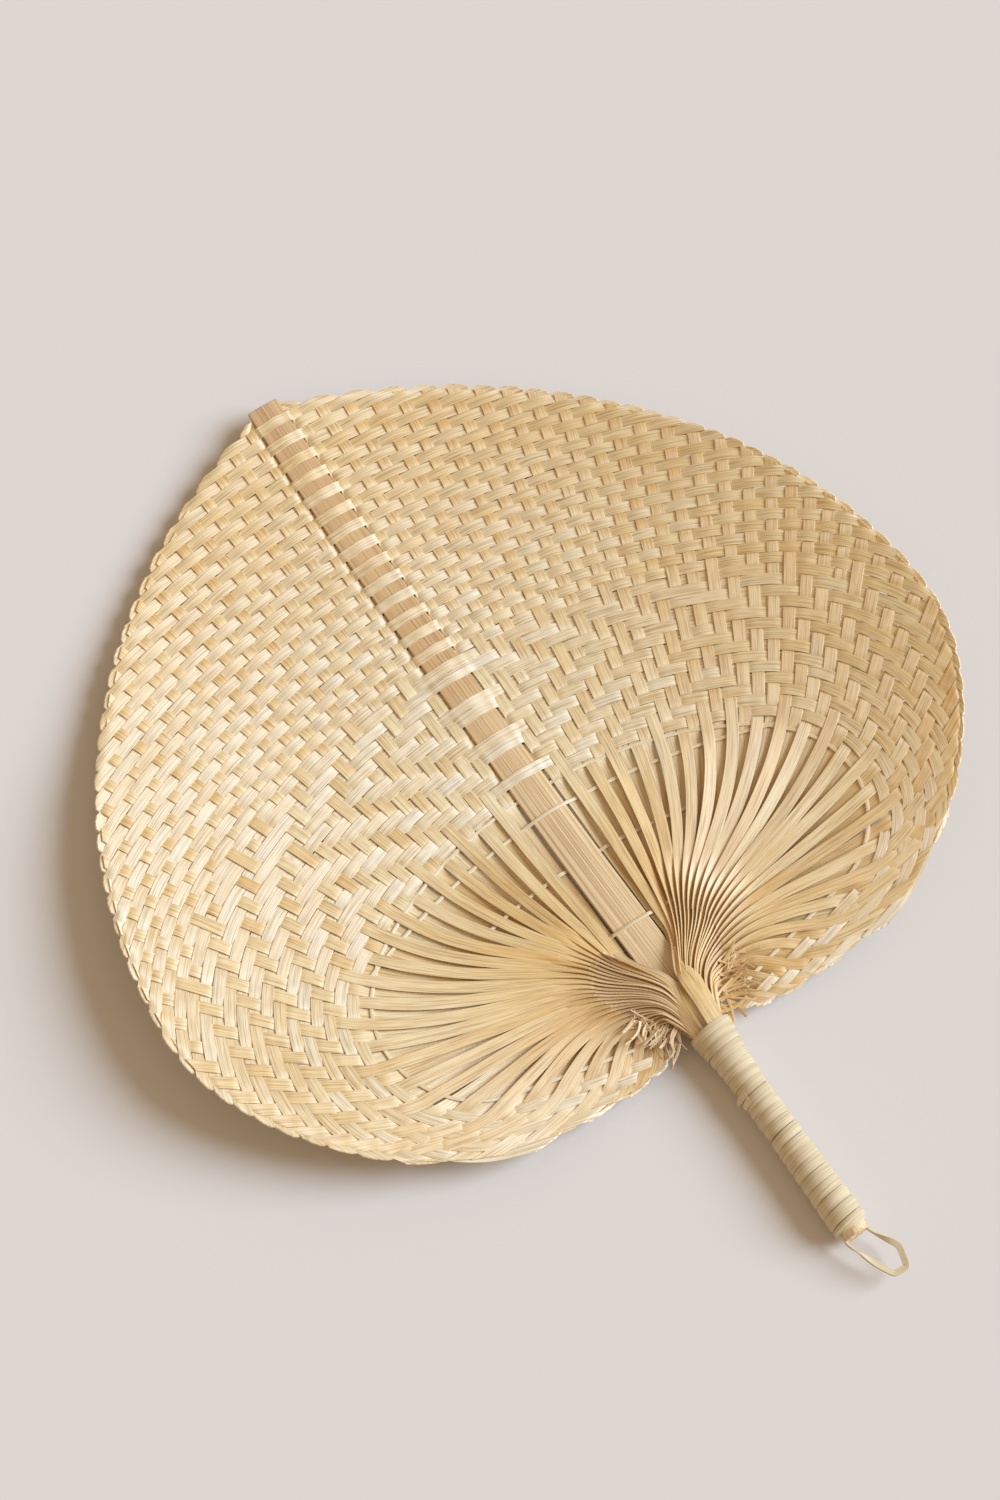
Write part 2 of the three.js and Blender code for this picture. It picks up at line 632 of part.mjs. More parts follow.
const WARP_PLANS = Array.from({ length: WARPS_A_SIDE }, (_, i) => warpPlan(i));
for (const [side, label] of [
  [-1, "left"],
  [1, "right"],
]) {
  place(`gather_${label}`, gather(side), GATHER_FINISH);
  place(`throat_strap_${label}`, throatStrap(side), WARP_FINISH);
  for (let i = 0; i < SHEAVES_A_SIDE; i++)
    place(`warp_sheaf_${label}_${i + 1}`, sheaf(WARP_PLANS, i * WARPS_IN_SHEAF, side), WARP_FINISH);
}

place("splint_edge", edgeStrip(-EDGE_SPLINT_INSET, SPLINT_WIDTH, false, EDGE_SPLINT_END), RIB_FINISH);
place("splint_upper", arcSplint(UPPER_SPLINT_Y, UPPER_SPLINT_REACH, true), RIB_FINISH);
place("splint_middle", arcSplint(MIDDLE_SPLINT_Y, MIDDLE_SPLINT_REACH, false), RIB_FINISH);
place("splint_lower", arcSplint(LOWER_SPLINT_Y, LOWER_SPLINT_REACH, true), RIB_FINISH);

for (let i = 0; i < WEFT_COUNT; i++) {
  const distance = WEFT_PITCH * (i + 0.5);
  const name = `weft_${String(i + 1).padStart(2, "0")}`;
  place(name, edgeStrip(distance, WEFT_WIDTH, i % 2 === 1, LOBE_END), WEFT_FINISH);
}

// Set down with its origin under its middle, on the surface that it lies on.
const box = new THREE.Box3().setFromObject(fan);
const middle = box.getCenter(new THREE.Vector3());
fan.position.set(-middle.x, -middle.y, -box.min.z);

export default fan;
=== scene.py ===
"""Woven bamboo hand fan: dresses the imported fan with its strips, pleats, wrap, loop and finish.

Lengths are metres. X runs across the blade, Y along the rib towards the tip, Z up out of the front face.
Plan places on the blade count y from the throat, where the blade meets the top of the wrapped handle.
"""

import json
import math

import bpy
import numpy as np
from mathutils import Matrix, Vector


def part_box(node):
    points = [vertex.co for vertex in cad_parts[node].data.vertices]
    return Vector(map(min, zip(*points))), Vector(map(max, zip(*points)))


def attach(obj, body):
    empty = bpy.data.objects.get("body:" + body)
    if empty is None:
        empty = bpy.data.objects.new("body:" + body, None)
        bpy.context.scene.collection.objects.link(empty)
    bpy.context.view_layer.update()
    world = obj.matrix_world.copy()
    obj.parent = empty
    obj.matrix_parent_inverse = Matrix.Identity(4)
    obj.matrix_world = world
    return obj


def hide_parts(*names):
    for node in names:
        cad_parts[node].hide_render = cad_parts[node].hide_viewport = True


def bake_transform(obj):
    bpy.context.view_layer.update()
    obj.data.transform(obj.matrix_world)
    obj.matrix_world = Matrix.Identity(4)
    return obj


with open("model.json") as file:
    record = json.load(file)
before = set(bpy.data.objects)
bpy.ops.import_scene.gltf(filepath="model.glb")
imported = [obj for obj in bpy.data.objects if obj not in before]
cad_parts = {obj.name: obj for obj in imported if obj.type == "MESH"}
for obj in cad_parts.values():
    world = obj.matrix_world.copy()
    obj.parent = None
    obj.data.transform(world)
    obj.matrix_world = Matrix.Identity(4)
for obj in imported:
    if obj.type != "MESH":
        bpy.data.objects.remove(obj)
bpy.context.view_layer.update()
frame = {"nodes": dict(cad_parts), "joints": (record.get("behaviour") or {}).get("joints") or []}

bl_info = {
    "name": "Woven Bamboo Fan",
    "version": (1, 0, 0),
    "blender": (4, 5, 0),
    "location": "3D View > Sidebar > Fan",
    "description": "Weaves a heart-shaped bamboo hand fan strip by strip",
    "category": "Add Mesh",
}

# Places taken from the frame
RIB_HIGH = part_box("central_rib")[1]
GRIP_LOW, GRIP_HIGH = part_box("grip_wrap")
LOOP_HINGE = Vector(frame["joints"][0]["pos_m"])
THROAT_Y = GRIP_HIGH.y
RIB_TIP_Y = RIB_HIGH.y - THROAT_Y
GRIP_LENGTH = GRIP_HIGH.y - GRIP_LOW.y
GRIP_AXIS_Z = LOOP_HINGE.z
BELLY_Z = 0.001125  # middle of the weave over the table, at the belly
WEFTS = sum(name.startswith("weft_") for name in frame["nodes"])
SHEAVES = sum(name.startswith("warp_sheaf_left") for name in frame["nodes"])

# Weave counts
WARPS_IN_SHEAF = 16
WARPS = WARPS_IN_SHEAF * SHEAVES
WEFT_PITCH = 0.00408
TWILL_REPEAT = 4  # the twill goes over two strips and under two
TWILL_WEFTS = 14  # rows of twill next to the open zone; plain weave beyond them
POINT_WARP = 14  # the twill turns back at this warp
POINT_WEFT = 9  # and, between there and the rib, at this weft

# First number of each kind of strip after the wefts; the number picks a strip's shade and grain
WARP_NUMBER = 100
RIGHT_NUMBER = 60  # added on the right half
RIB_NUMBER = 300
SPLINT_NUMBER = 320
STRAP_NUMBER = 340
WRAP_NUMBER = 360
LOOP_NUMBER = 370
LOOSE_NUMBER = 380

# Central rib
RIB_WIDTH = 0.0135
RIB_TIP_WIDTH = 0.0122
RIB_TANG_WIDTH = 0.008
RIB_SHOULDER_Y = 0.028
RIB_THICKNESS = 0.0014
RIB_FOOT = -0.0006
RIB_ARCH = 0.0006  # rise of the rib's rounded face
RIB_SEAT = 0.0008  # middle of the frame's rib over the weave

# Dish of the blade
SIDE_RISE = 0.020
TIP_RISE = 0.008
BELLY_HALF_WIDTH = 0.020
BELLY_TOP_Y = 0.190
BELLY_FOOT_Y = 0.095
THROAT_RISE = GRIP_AXIS_Z - BELLY_Z - RIB_SEAT

# Inner edge of the weave: a wide arc over the rib and a lobe each side
OPEN_TOP_Y = 0.1065
LOBE_X = 0.0603
LOBE_Y = 0.0506
LOBE_RADIUS = 0.0393
TAIL_ANGLE = math.radians(168)  # the edge runs straight from here to the throat
TAIL_LENGTH = 0.0567
WEFT_END = TAIL_ANGLE + TAIL_LENGTH / LOBE_RADIUS
TAIL_SPREAD = 0.82  # the wefts lie closer along the tail
LOBE_RISE = OPEN_TOP_Y - LOBE_Y
WIDE_RADIUS = (LOBE_X**2 + LOBE_RISE**2 - LOBE_RADIUS**2) / (2 * (LOBE_RISE - LOBE_RADIUS))
WIDE_CENTRE_Y = OPEN_TOP_Y - WIDE_RADIUS
WIDE_END = math.atan2(LOBE_X, LOBE_Y - WIDE_CENTRE_Y)

# Rim of the right half: two cubic curves and a short straight foot
RIM_TIP_Y = 0.281
RIM_TIP_ANGLE = math.radians(16.6)
RIM_TIP_PULL = 0.100
RIM_HALF_WIDTH = 0.155
RIM_WIDEST_Y = 0.090
RIM_UPPER_PULL = 0.076
RIM_LOWER_PULL = 0.040
RIM_FOOT_X = 0.055
RIM_FOOT_Y = -0.0045
RIM_FOOT_PULL = 0.053
RIM_ENDS = ((0.033, -0.005), (0.020, -0.0032), (0.013, 0.0005), (0.009, 0.0012), (0, 0.0012))
RIM_STEPS = 60
REACH_STEPS = 3000  # tries along a strip for the place where it meets the rim
ROWS_PAST_RIM = 30  # rows of a warp's course that count outside it

# Fan of the warps: share of the warps, length along the inner edge, direction there, bend in the weave
FAN = (
    (0.00, 0.0100, -0.4, 0),
    (0.28, 0.0674, 25, 2),
    (0.38, 0.0890, 42, 8),
    (0.50, 0.1126, 58, 14),
    (0.57, 0.1270, 75, 20),
    (0.66, 0.1470, 89, 27),
    (0.74, 0.1696, 102, 32),
    (0.83, 0.1945, 119, 34),
    (0.91, 0.2130, 134, 30),
    (1.00, 0.2290, 142, 28),
)
BEND_LENGTH = 0.009
WEAVE_STEP = 0.001

# Crease of each gather, where the warps turn on edge: share of the warps, x, y, direction in degrees
CREASE = (
    (0.00, 0.0088, 0.0380, -3),
    (0.04, 0.0110, 0.0400, 0),
    (0.12, 0.0145, 0.0405, 6),
    (0.28, 0.0195, 0.0385, 20),
    (0.45, 0.0235, 0.0335, 45),
    (0.60, 0.0232, 0.0275, 72),
    (0.75, 0.0212, 0.0210, 98),
    (0.88, 0.0175, 0.0145, 116),
    (1.00, 0.0130, 0.0100, 135),
)
BUNDLE_LEAN = math.radians(45)
CREASE_TURN = 0.55  # share of its turn that a warp has at the crease
CREASE_PULL = 0.3  # a warp keeps its direction at the crease for this share of the open zone,
CREASE_PULL_MOST = 0.014  # and for this length at most
CREASE_LAYER = 0.6  # share of the layers' rise at the crease and near the weave
FLAT_SHARE = 0.14  # the warps nearest the rib turn on edge less, or not at all
TWIST_LEFT = 0.019  # a warp lies flat this far from the crease
TWIST_RIGHT = 0.027
EDGE_LEFT = math.radians(38)  # how far the strips turn on edge at the crease
EDGE_RIGHT = math.radians(-68)
EDGE_PULL = 0.45
PLEAT_SHARE = 0.82  # width of a strip at the crease, as a share of its width in the weave
PLEAT_TAPER = 0.05  # it widens over this length
NECK_FIRST = (0.0030, 0.0225)
NECK_LAST = (0.0098, 0.0085)
NECK_LEAN = math.radians(28)
TUCK_Y = -0.006

# Course of a strip
WEFT_STEP = 0.00115
WEFT_LEAST_ROWS = 8  # of half a weft
OPEN_STEP = 0.0018  # step of a warp in the open zone
OPEN_LEAST_ROWS = 14  # of a warp there,
WOVEN_LEAST_ROWS = 3  # and in the weave
LEVEL_REST = 0.0003  # a strip lies level this far each side of a crossing,
LEVEL_SHARE = 0.35  # or for this share of the way to the next
LEAST_APART = 0.0005  # crossings closer than this count as one
PAST_RIM = 0.012  # crossings this far outside the rim still bend a weft's end
RIB_GAP = 0.7  # height of a weft over the rib, in thicknesses
RIB_EDGE = 0.0004  # a weft bends this far inside the rib's edge
RUN_IN = 0.006  # a warp nears the weave's level this far before it

# How strips differ: shares, and pairs of a wander's size and spacing
WEFT_RELIEF_SPREAD = 0.12
WARP_RELIEF_SPREAD = 0.1
LAYER_SPREAD = 0.15
TWIST_SPREAD = 0.12
WEFT_DRIFT = (0.00008, 0.012)
WARP_DRIFT = (0.00012, 0.02)
WEFT_WIDTHS = (0.02, 0.02)
WARP_WIDTHS = (0.02, 0.03)
WARP_TILT = (-4, 5)  # degrees, middle and spread
DRIFT_FROM = 0.03  # a warp drifts fully this far from the crease,
TILT_FROM = 0.02  # and tilts fully this far from the crease
TILT_TO = 0.015  # and from the weave

# Ends at the rim
RIM_BULGE = 0.0015
RIM_STEP = 0.42  # how far a fold at the rim turns from the rim's line to a mitre
RIM_FOLD = 0.75  # radius of a fold, in thicknesses
RIM_FOLD_STEPS = 4
RIM_TUCK = (0.0025, 0.007)  # a folded end runs back under the weave this far
RIM_TUCK_GAP = 0.0001
MOST_SLANT = 3.2  # of a strip's end, along over across
SLANT_ROWS = 3  # a slanted end takes in this many rows,
SLANT_STEP = 0.0006  # and one more for each of these along the slant

# Edges of the meshes
STRIP_ROUNDING = 0.00007
SHARP_ANGLE = math.radians(60)  # edges sharper than this are rounded
SMOOTH_ANGLE = math.radians(30)  # and those flatter than this are shaded smooth
UV_MARGIN = 0.1  # of a strip's width, left free each side in its UV map

# Grain of the bamboo: step of each noise from strip to strip, and its detail
FIBRE_NOISE = (3.7, 3)
FINE_NOISE = (9.1, 2)
PATCH_NOISE = (5.3, 2)
NOISE_ROUGHNESS = 0.6
FINE_FIBRES = (2.4, 2.2)  # fine fibres to a coarse one, across and along
PATCHES = (1.2, 45.0)  # patches across a strip, and in a metre along it

# Colour of the bamboo: bands of the noise that show, and how far they reach from pale to deep
STRIP_CONTRAST = 0.6
PATCH_BAND = (0.32, 0.68)
PATCH_CONTRAST = 0.45
FIBRE_BAND = (0.32, 0.55)
FINE_BAND = (0.3, 0.6)
FINE_STREAK = 0.5  # streak of the fine fibres, as a share of the coarse ones'
STREAK_POWERS = {"Red": 1, "Green": 1.3, "Blue": 1.75}  # dark fibres are redder
PAINTED_LIGHT_CENTRE = (0.010, 0.045)  # painted highlight here, where the strips are palest, and painted shade that deepens their colour towards the rim
PAINTED_LIGHT_LEFT = -0.30  # distances from there to the full depth of colour, further off on the left
PAINTED_LIGHT_RIGHT = 0.13
PAINTED_LIGHT_UP = 0.135
PAINTED_LIGHT_BAND = (0.12, 0.88)
CREASE_SHADE_BAND = (0.0198, 0.066)  # painted shade: the warps are deep in colour this far from the crease, where the gathers shade them
WOVEN_FROM = GRIP_LENGTH + OPEN_TOP_Y  # length up the rib to the weave
RIB_SHADE_BAND = (WOVEN_FROM - 0.01, WOVEN_FROM + 0.055)  # painted shade: the rib deepens in colour between these, under the wefts that lie over it
RIB_SHADE_TINT = (0.76, 0.65, 0.51)

# Gloss of the bamboo
GLOSS_BAND = (0.3, 0.7)
ROUGHER, SMOOTHER = 0.1, 0.06  # of the dark and the pale fibres
BUMP_DEPTH = 0.0004
PLAIN_IOR, SHEEN_IOR = 1.4, 0.9
PLAIN_SPECULAR, SHEEN_SPECULAR = 0.4, 0.55

# Finish of a strip, and what sets each kind apart
FINISH = {"fibres": 15, "stretch": 50, "streak": 0.42, "roughness": 0.54, "bump": 0.12, "sheen": 0.66}
FINISHES = {
    "weft": {"painted_light": True},
    "warp": {"streak": 0.4, "painted_light": True, "crease_shade": True},
    "rib": {"fibres": 38, "stretch": 9, "streak": 0.5, "bump": 0.3, "woven": True},
    # the pleats' strong dark streaks are partly grain and partly painted shade between the pleats
    "pleat": {"fibres": 9, "stretch": 9, "streak": 0.6, "bump": 0.4, "colours": "rib"},
    "strap": {"streak": 0.5},
    "wrap": {"fibres": 12, "streak": 0.24, "roughness": 0.66, "sheen": 0},
}

# Camera and light
CAMERA_ELEVATION = math.radians(67.33)
CAMERA_HEADING = math.radians(33.6)  # from the rib towards +X
CAMERA_DISTANCE = 1.0569
CAMERA_LENS = 72
CAMERA_SENSOR = 36
CAMERA_TARGET = Vector((-0.0006, 0.0353, 0.0))
KEY_FROM = Vector((0.75, -0.35, 0.575))
KEY_ANGLE = math.radians(36)
KEY_STRENGTH = 3.96
KEY_COLOUR = (0.732, 0.848, 1.0)
SURROUND_COLOUR = (1.0, 0.75, 0.49)
SURROUND_STRENGTH = 0.49
TABLE_COLOUR = (0.72, 0.69, 0.666)
TABLE_SIZE = 24
TABLE_Z = -0.0002


def length_prop(label, text, default):
    """A length that a user may change."""
    return bpy.props.FloatProperty(
        name=label, description=text, default=default, min=0, unit="LENGTH", precision=5
    )


def colour_prop(label, text, default):
    """A finish colour that a user may change."""
    return bpy.props.FloatVectorProperty(
        name=label, description=text, default=default, size=3, min=0, max=1, subtype="COLOR"
    )


class FanSizes(bpy.types.PropertyGroup):
    """Sizes of the strips."""

    strip: length_prop("Strip thickness", "Thickness of the woven strips", 0.00036)
    weft: length_prop("Weft width", "Width of the strips across the rib", 0.00398)
    warp: length_prop("Warp width", "Width of the strips from throat to rim", 0.0042)
    relief: length_prop("Relief", "Rise of a strip over its neighbour", 0.00037)
    crown: length_prop("Crown", "Swell of a strip's face", 0.00005)
    layer: length_prop("Layer", "Rise of the upper warps in the open zone", 0.0012)
    splint: length_prop("Splint width", "Width of the spacer splints", 0.0012)
    wrap: length_prop("Wrap width", "Width of the strip round the handle", 0.0043)


class FanColours(bpy.types.PropertyGroup):
    """Colours of the bamboo, pale and deep."""

    weft_pale: colour_prop("Weft, pale", "Pale wefts", (0.98, 0.94, 0.78))
    weft_deep: colour_prop("Weft, deep", "Deeper wefts", (0.92, 0.75, 0.44))
    warp_pale: colour_prop("Warp, pale", "Pale warps", (1.0, 0.905, 0.63))
    warp_deep: colour_prop("Warp, deep", "Deeper warps", (0.89, 0.655, 0.31))
    # Painted shade: the tint that the strips take on towards the rim and tip, and the warps near the
    # crease
    painted_shade_tint: colour_prop("Painted shade", "Tint of the strips at the rim", (0.95, 0.83, 0.62))
    rib_pale: colour_prop("Rib, pale", "Pale fibres of the rib", (1.0, 0.80, 0.50))
    rib_deep: colour_prop("Rib, deep", "Deep fibres of the rib", (0.96, 0.71, 0.41))
    strap_pale: colour_prop("Strap, pale", "Pale throat straps", (0.89, 0.67, 0.33))
    strap_deep: colour_prop("Strap, deep", "Deeper throat straps", (0.78, 0.52, 0.22))
    wrap_pale: colour_prop("Wrap, pale", "Pale wrap", (0.84, 0.755, 0.555))
    wrap_deep: colour_prop("Wrap, deep", "Deeper wrap", (0.68, 0.57, 0.38))


def smooth(t):
    """Eased step from 0 to 1."""
    t = np.clip(t, 0, 1)
    return t * t * (3 - 2 * t)


def heading(angle):
    """Unit vectors in plan, turned from the rib's direction."""
    return np.stack([np.sin(angle), np.cos(angle)], -1)


def unit(vector):
    """The direction of a vector."""
    return vector / np.linalg.norm(vector)


def run_lengths(points):
    """Length along a row of points, at each of them."""
    return np.append(0, np.cumsum(np.linalg.norm(np.diff(points, axis=0), axis=1)))


def blade_height(x, y):
    """Height of the weave's middle over the belly."""
    side = np.maximum(0, np.abs(x) - BELLY_HALF_WIDTH) / (RIM_HALF_WIDTH - BELLY_HALF_WIDTH)
    tip = np.maximum(0, y - BELLY_TOP_Y) / (RIB_TIP_Y - BELLY_TOP_Y)
    throat = smooth((BELLY_FOOT_Y - y) / BELLY_FOOT_Y)
    return SIDE_RISE * side**2 + TIP_RISE * tip**2 + THROAT_RISE * throat


def rib_half_width(y):
    """Half the rib's width at y."""
    tang = smooth((RIB_SHOULDER_Y - y) / RIB_SHOULDER_Y)
    tip = np.maximum(0, (y - OPEN_TOP_Y) / (RIB_TIP_Y - OPEN_TOP_Y))
    blade = RIB_WIDTH + (RIB_TIP_WIDTH - RIB_WIDTH) * tip
    return (blade + (RIB_TANG_WIDTH - blade) * tang) / 2


def edge_direction(place):
    """Outward direction at a place along the weave's inner edge."""
    return np.minimum(place, TAIL_ANGLE)


TAIL_RUN = heading(TAIL_ANGLE + math.pi / 2)


def edge_point(place, distance):
    """Point at a place along the weave's inner edge, or a distance outside it.

    On the wide arc and the lobe a place is the outward direction. On the straight tail it goes on by the
    tail's length over the lobe's radius.
    """
    place = np.asarray(place, float)
    angle = edge_direction(place)
    lobe = angle > WIDE_END
    centre = np.stack([np.where(lobe, LOBE_X, 0), np.where(lobe, LOBE_Y, WIDE_CENTRE_Y)], -1)
    radius = np.where(lobe, LOBE_RADIUS, WIDE_RADIUS) + distance
    tail = LOBE_RADIUS * np.maximum(0, place - TAIL_ANGLE)
    return centre + heading(angle) * radius[..., None] + TAIL_RUN * tail[..., None]


def edge_place(points):
    """Place along the inner edge and distance from it, of points in the right half."""
    x = points[..., 0]
    y = points[..., 1]
    wide = np.arctan2(x, y - WIDE_CENTRE_Y)
    from_lobe = points - [LOBE_X, LOBE_Y]
    lobe = np.arctan2(from_lobe[..., 0], from_lobe[..., 1]) % (2 * np.pi)
    in_lobe = (wide > WIDE_END) | (y < LOBE_Y)
    past = from_lobe @ TAIL_RUN
    out = from_lobe @ heading(TAIL_ANGLE)
    in_tail = in_lobe & (past > 0) & (out > 0)
    place = np.where(in_tail, TAIL_ANGLE + past / LOBE_RADIUS, np.where(in_lobe, lobe, wide))
    lobe_distance = np.where(in_tail, out, np.hypot(*np.moveaxis(from_lobe, -1, 0))) - LOBE_RADIUS
    wide_distance = np.hypot(x, y - WIDE_CENTRE_Y) - WIDE_RADIUS
    return place, np.where(in_lobe, lobe_distance, wide_distance)


def edge_at(length):
    """Place at a length along the inner edge from the rib."""
    wide = WIDE_RADIUS * WIDE_END
    return np.where(length < wide, length / WIDE_RADIUS, WIDE_END + (length - wide) / LOBE_RADIUS)


def weft_length(place, distance):
    """Length along a weft, from the rib to a place."""
    wide = (WIDE_RADIUS + distance) * np.minimum(place, WIDE_END)
    lobe = (LOBE_RADIUS + distance) * (np.clip(place, WIDE_END, TAIL_ANGLE) - WIDE_END)
    return wide + lobe + LOBE_RADIUS * np.maximum(0, place - TAIL_ANGLE)


def weft_place(length, distance):
    """Place at a length along a weft."""
    wide = (WIDE_RADIUS + distance) * WIDE_END
    lobe = (LOBE_RADIUS + distance) * (TAIL_ANGLE - WIDE_END)
    in_lobe = WIDE_END + (length - wide) / (LOBE_RADIUS + distance)
    in_tail = TAIL_ANGLE + (length - wide - lobe) / LOBE_RADIUS
    past_wide = np.where(length < wide + lobe, in_lobe, in_tail)
    return np.where(length < wide, length / (WIDE_RADIUS + distance), past_wide)


def weft_spread(place):
    """How far apart the wefts lie at a place, as a share of their pitch."""
    return 1 + (TAIL_SPREAD - 1) * smooth((place - math.pi / 2) / (TAIL_ANGLE - math.pi / 2))


def bezier(a, b, c, d, t):
    """Points of a cubic curve."""
    t = np.asarray(t)[:, None]
    return (1 - t) ** 3 * a + 3 * (1 - t) ** 2 * t * b + 3 * (1 - t) * t**2 * c + t**3 * d


def rim_outline():
    """The rim of the right half as a closed outline back along the rib."""
    share = np.linspace(0, 1, RIM_STEPS)
    tip = np.array([RIB_TIP_WIDTH / 2, RIM_TIP_Y])
    side = np.array([RIM_HALF_WIDTH, RIM_WIDEST_Y])
    foot = np.array([RIM_FOOT_X, RIM_FOOT_Y])
    slope = heading(math.pi / 2 + RIM_TIP_ANGLE)
    up = np.array([0, 1])
    across = np.array([1, 0])
    upper = bezier(tip, tip + RIM_TIP_PULL * slope, side + RIM_UPPER_PULL * up, side, share)
    lower = bezier(side, side - RIM_LOWER_PULL * up, foot + RIM_FOOT_PULL * across, foot, share)
    return np.vstack([upper, lower[1:], RIM_ENDS, [[0, RIM_TIP_Y]]])


RIM = rim_outline()


def inside_rim(points):
    """True where points of the right half lie inside the rim."""
    x = points[:, 0]
    y = points[:, 1]
    inside = np.zeros(len(points), bool)
    for a, b in zip(RIM, np.roll(RIM, -1, axis=0)):
        if a[1] == b[1]:
            continue
        spans = (a[1] > y) != (b[1] > y)
        inside ^= spans & (x < a[0] + (y - a[1]) / (b[1] - a[1]) * (b[0] - a[0]))
    return inside


def rim_direction(point):
    """Direction of the rim of the right half, where it passes nearest to a point."""
    nearest = np.argmin(np.linalg.norm((RIM[:-2] + RIM[1:-1]) / 2 - point, axis=1))
    return unit(RIM[nearest + 1] - RIM[nearest])


def reach_rim(point_at, limit):
    """The largest value up to the limit whose point still lies inside the rim."""
    values = np.linspace(0, limit, REACH_STEPS)
    outside = np.flatnonzero(~inside_rim(point_at(values)))
    return values[max(0, outside[0] - 1)] if len(outside) else limit


def at_share(stations, share):
    """The values between stations, at a share."""
    shares, *columns = np.array(stations).T
    return [np.interp(share, shares, column) for column in columns]


def warp_plan(index):
    """A warp of the right half: its crease, how it meets the weave, and its course on from there."""
    share = (index + 0.5) / WARPS
    x, y, turn = at_share(CREASE, share)
    length, direction, bend = at_share(FAN, index / (WARPS - 1))
    edge = edge_point(float(edge_at(length)), 0.0)
    along = np.arange(0, RIB_TIP_Y, WEAVE_STEP)
    turned = math.radians(direction) - math.radians(bend) * (1 - np.exp(-along / BEND_LENGTH))
    woven = edge + np.cumsum(heading(turned) * WEAVE_STEP, axis=0)
    outside = np.flatnonzero(~inside_rim(woven))
    on_edge = float(smooth(share / FLAT_SHARE))
    turned_share = 1 - (1 - CREASE_TURN) * on_edge
    leave = heading(BUNDLE_LEAN + (math.radians(turn) - BUNDLE_LEAN) * turned_share)
    return {
        "share": share,
        "on_edge": on_edge,
        "crease": np.array([x, y]),
        "leave": leave,
        "edge": edge,
        "meet": heading(math.radians(direction)),
        "woven": woven,
        "rows": outside[0] if len(outside) else len(along),
    }


WARP_PLANS = [warp_plan(i) for i in range(WARPS)]


def crossing_places():
    """Where each warp and weft cross: the length along the warp and the place on the edge."""
    distance = WEFT_PITCH * (np.arange(WEFTS) + 0.5)
    lengths = np.zeros((WARPS, WEFTS))
    places = np.zeros((WARPS, WEFTS))
    for i, plan in enumerate(WARP_PLANS):
        course = plan["woven"][: plan["rows"] + ROWS_PAST_RIM]
        along = WEAVE_STEP * (1 + np.arange(len(course)))
        place, depth = edge_place(course)
        depth = np.maximum.accumulate(depth / weft_spread(place))
        lengths[i] = np.interp(distance, depth, along, right=np.inf)
        places[i] = np.interp(distance, depth, place)
    return lengths, places


CROSS_LENGTH, CROSS_PLACE = crossing_places()


def weft_over(warp, weft):
    """True where the weft lies over the warp: a pointed twill by the open zone, plain weave beyond."""
    warp, weft = np.broadcast_arrays(warp, weft)
    inner = np.where(weft >= POINT_WEFT, warp + weft, warp - weft + 2 * POINT_WEFT)
    outer = 2 * POINT_WARP + 2 * POINT_WEFT - warp - weft
    twill = np.where(warp < POINT_WARP, inner, outer) % TWILL_REPEAT < TWILL_REPEAT / 2
    plain = (warp + weft) % 2 == 0
    return np.where(weft < TWILL_WEFTS, twill, plain)


def over_rib(weft):
    """True where a weft passes over the rib."""
    if weft < TWILL_WEFTS - 1:
        return weft > 0 and weft % TWILL_REPEAT < TWILL_REPEAT / 2
    return weft % 2 == 1


def woven_height(places, knots, heights):
    """Height along a strip that lies level each side of its knots and eases between them."""
    room = np.diff(knots) * LEVEL_SHARE
    before = np.minimum(LEVEL_REST, np.append(np.inf, room))
    after = np.minimum(LEVEL_REST, np.append(room, np.inf))
    ends = np.stack([knots - before, knots + after], 1).ravel()
    level = np.repeat(heights, 2)
    at = np.clip(np.searchsorted(ends, places) - 1, 0, len(ends) - 2)
    span = np.maximum(ends[at + 1] - ends[at], 1e-9)
    return level[at] + (level[at + 1] - level[at]) * smooth((places - ends[at]) / span)


def wander(rng, places, size, spacing):
    """A slow wander along a strip."""
    knots = np.arange(places.min() - spacing, places.max() + 2 * spacing, spacing)
    return np.interp(places, knots, rng.normal(0, size, len(knots)))


COLUMNS = np.array([-1, -0.4, 0.4, 1])  # places across a strip


def strip_grid(plan, across, height, half_width, twist, crown):
    """Surface of a strip on the blade, from its plan, its direction across, its height and its twist."""
    offset = COLUMNS * half_width[:, None]
    flat = (np.cos(twist)[:, None] * offset)[..., None]
    xy = plan[:, None, :] + across[:, None, :] * flat
    lift = np.sin(twist)[:, None] * offset
    swell = crown * (1 - COLUMNS**2) * np.cos(twist)[:, None]
    z = blade_height(xy[..., 0], xy[..., 1]) + height[:, None] + lift + swell
    return np.concatenate([xy, z[..., None]], -1)


def across_plan(plan):
    """Plan direction across a course, to its right."""
    along = np.gradient(plan, axis=0)
    along /= np.linalg.norm(along, axis=1)[:, None]
    return np.stack([along[:, 1], -along[:, 0]], -1)


def to_part(grid, side=1):
    """Plan places on the blade as places of the part."""
    placed = grid.copy()
    placed[..., 0] *= side
    placed[..., 1] += THROAT_Y
    placed[..., 2] += BELLY_Z
    return placed


def warp_number(index, side):
    """Number of a warp's strip, and of its pleat."""
    return WARP_NUMBER + index + (RIGHT_NUMBER if side > 0 else 0)


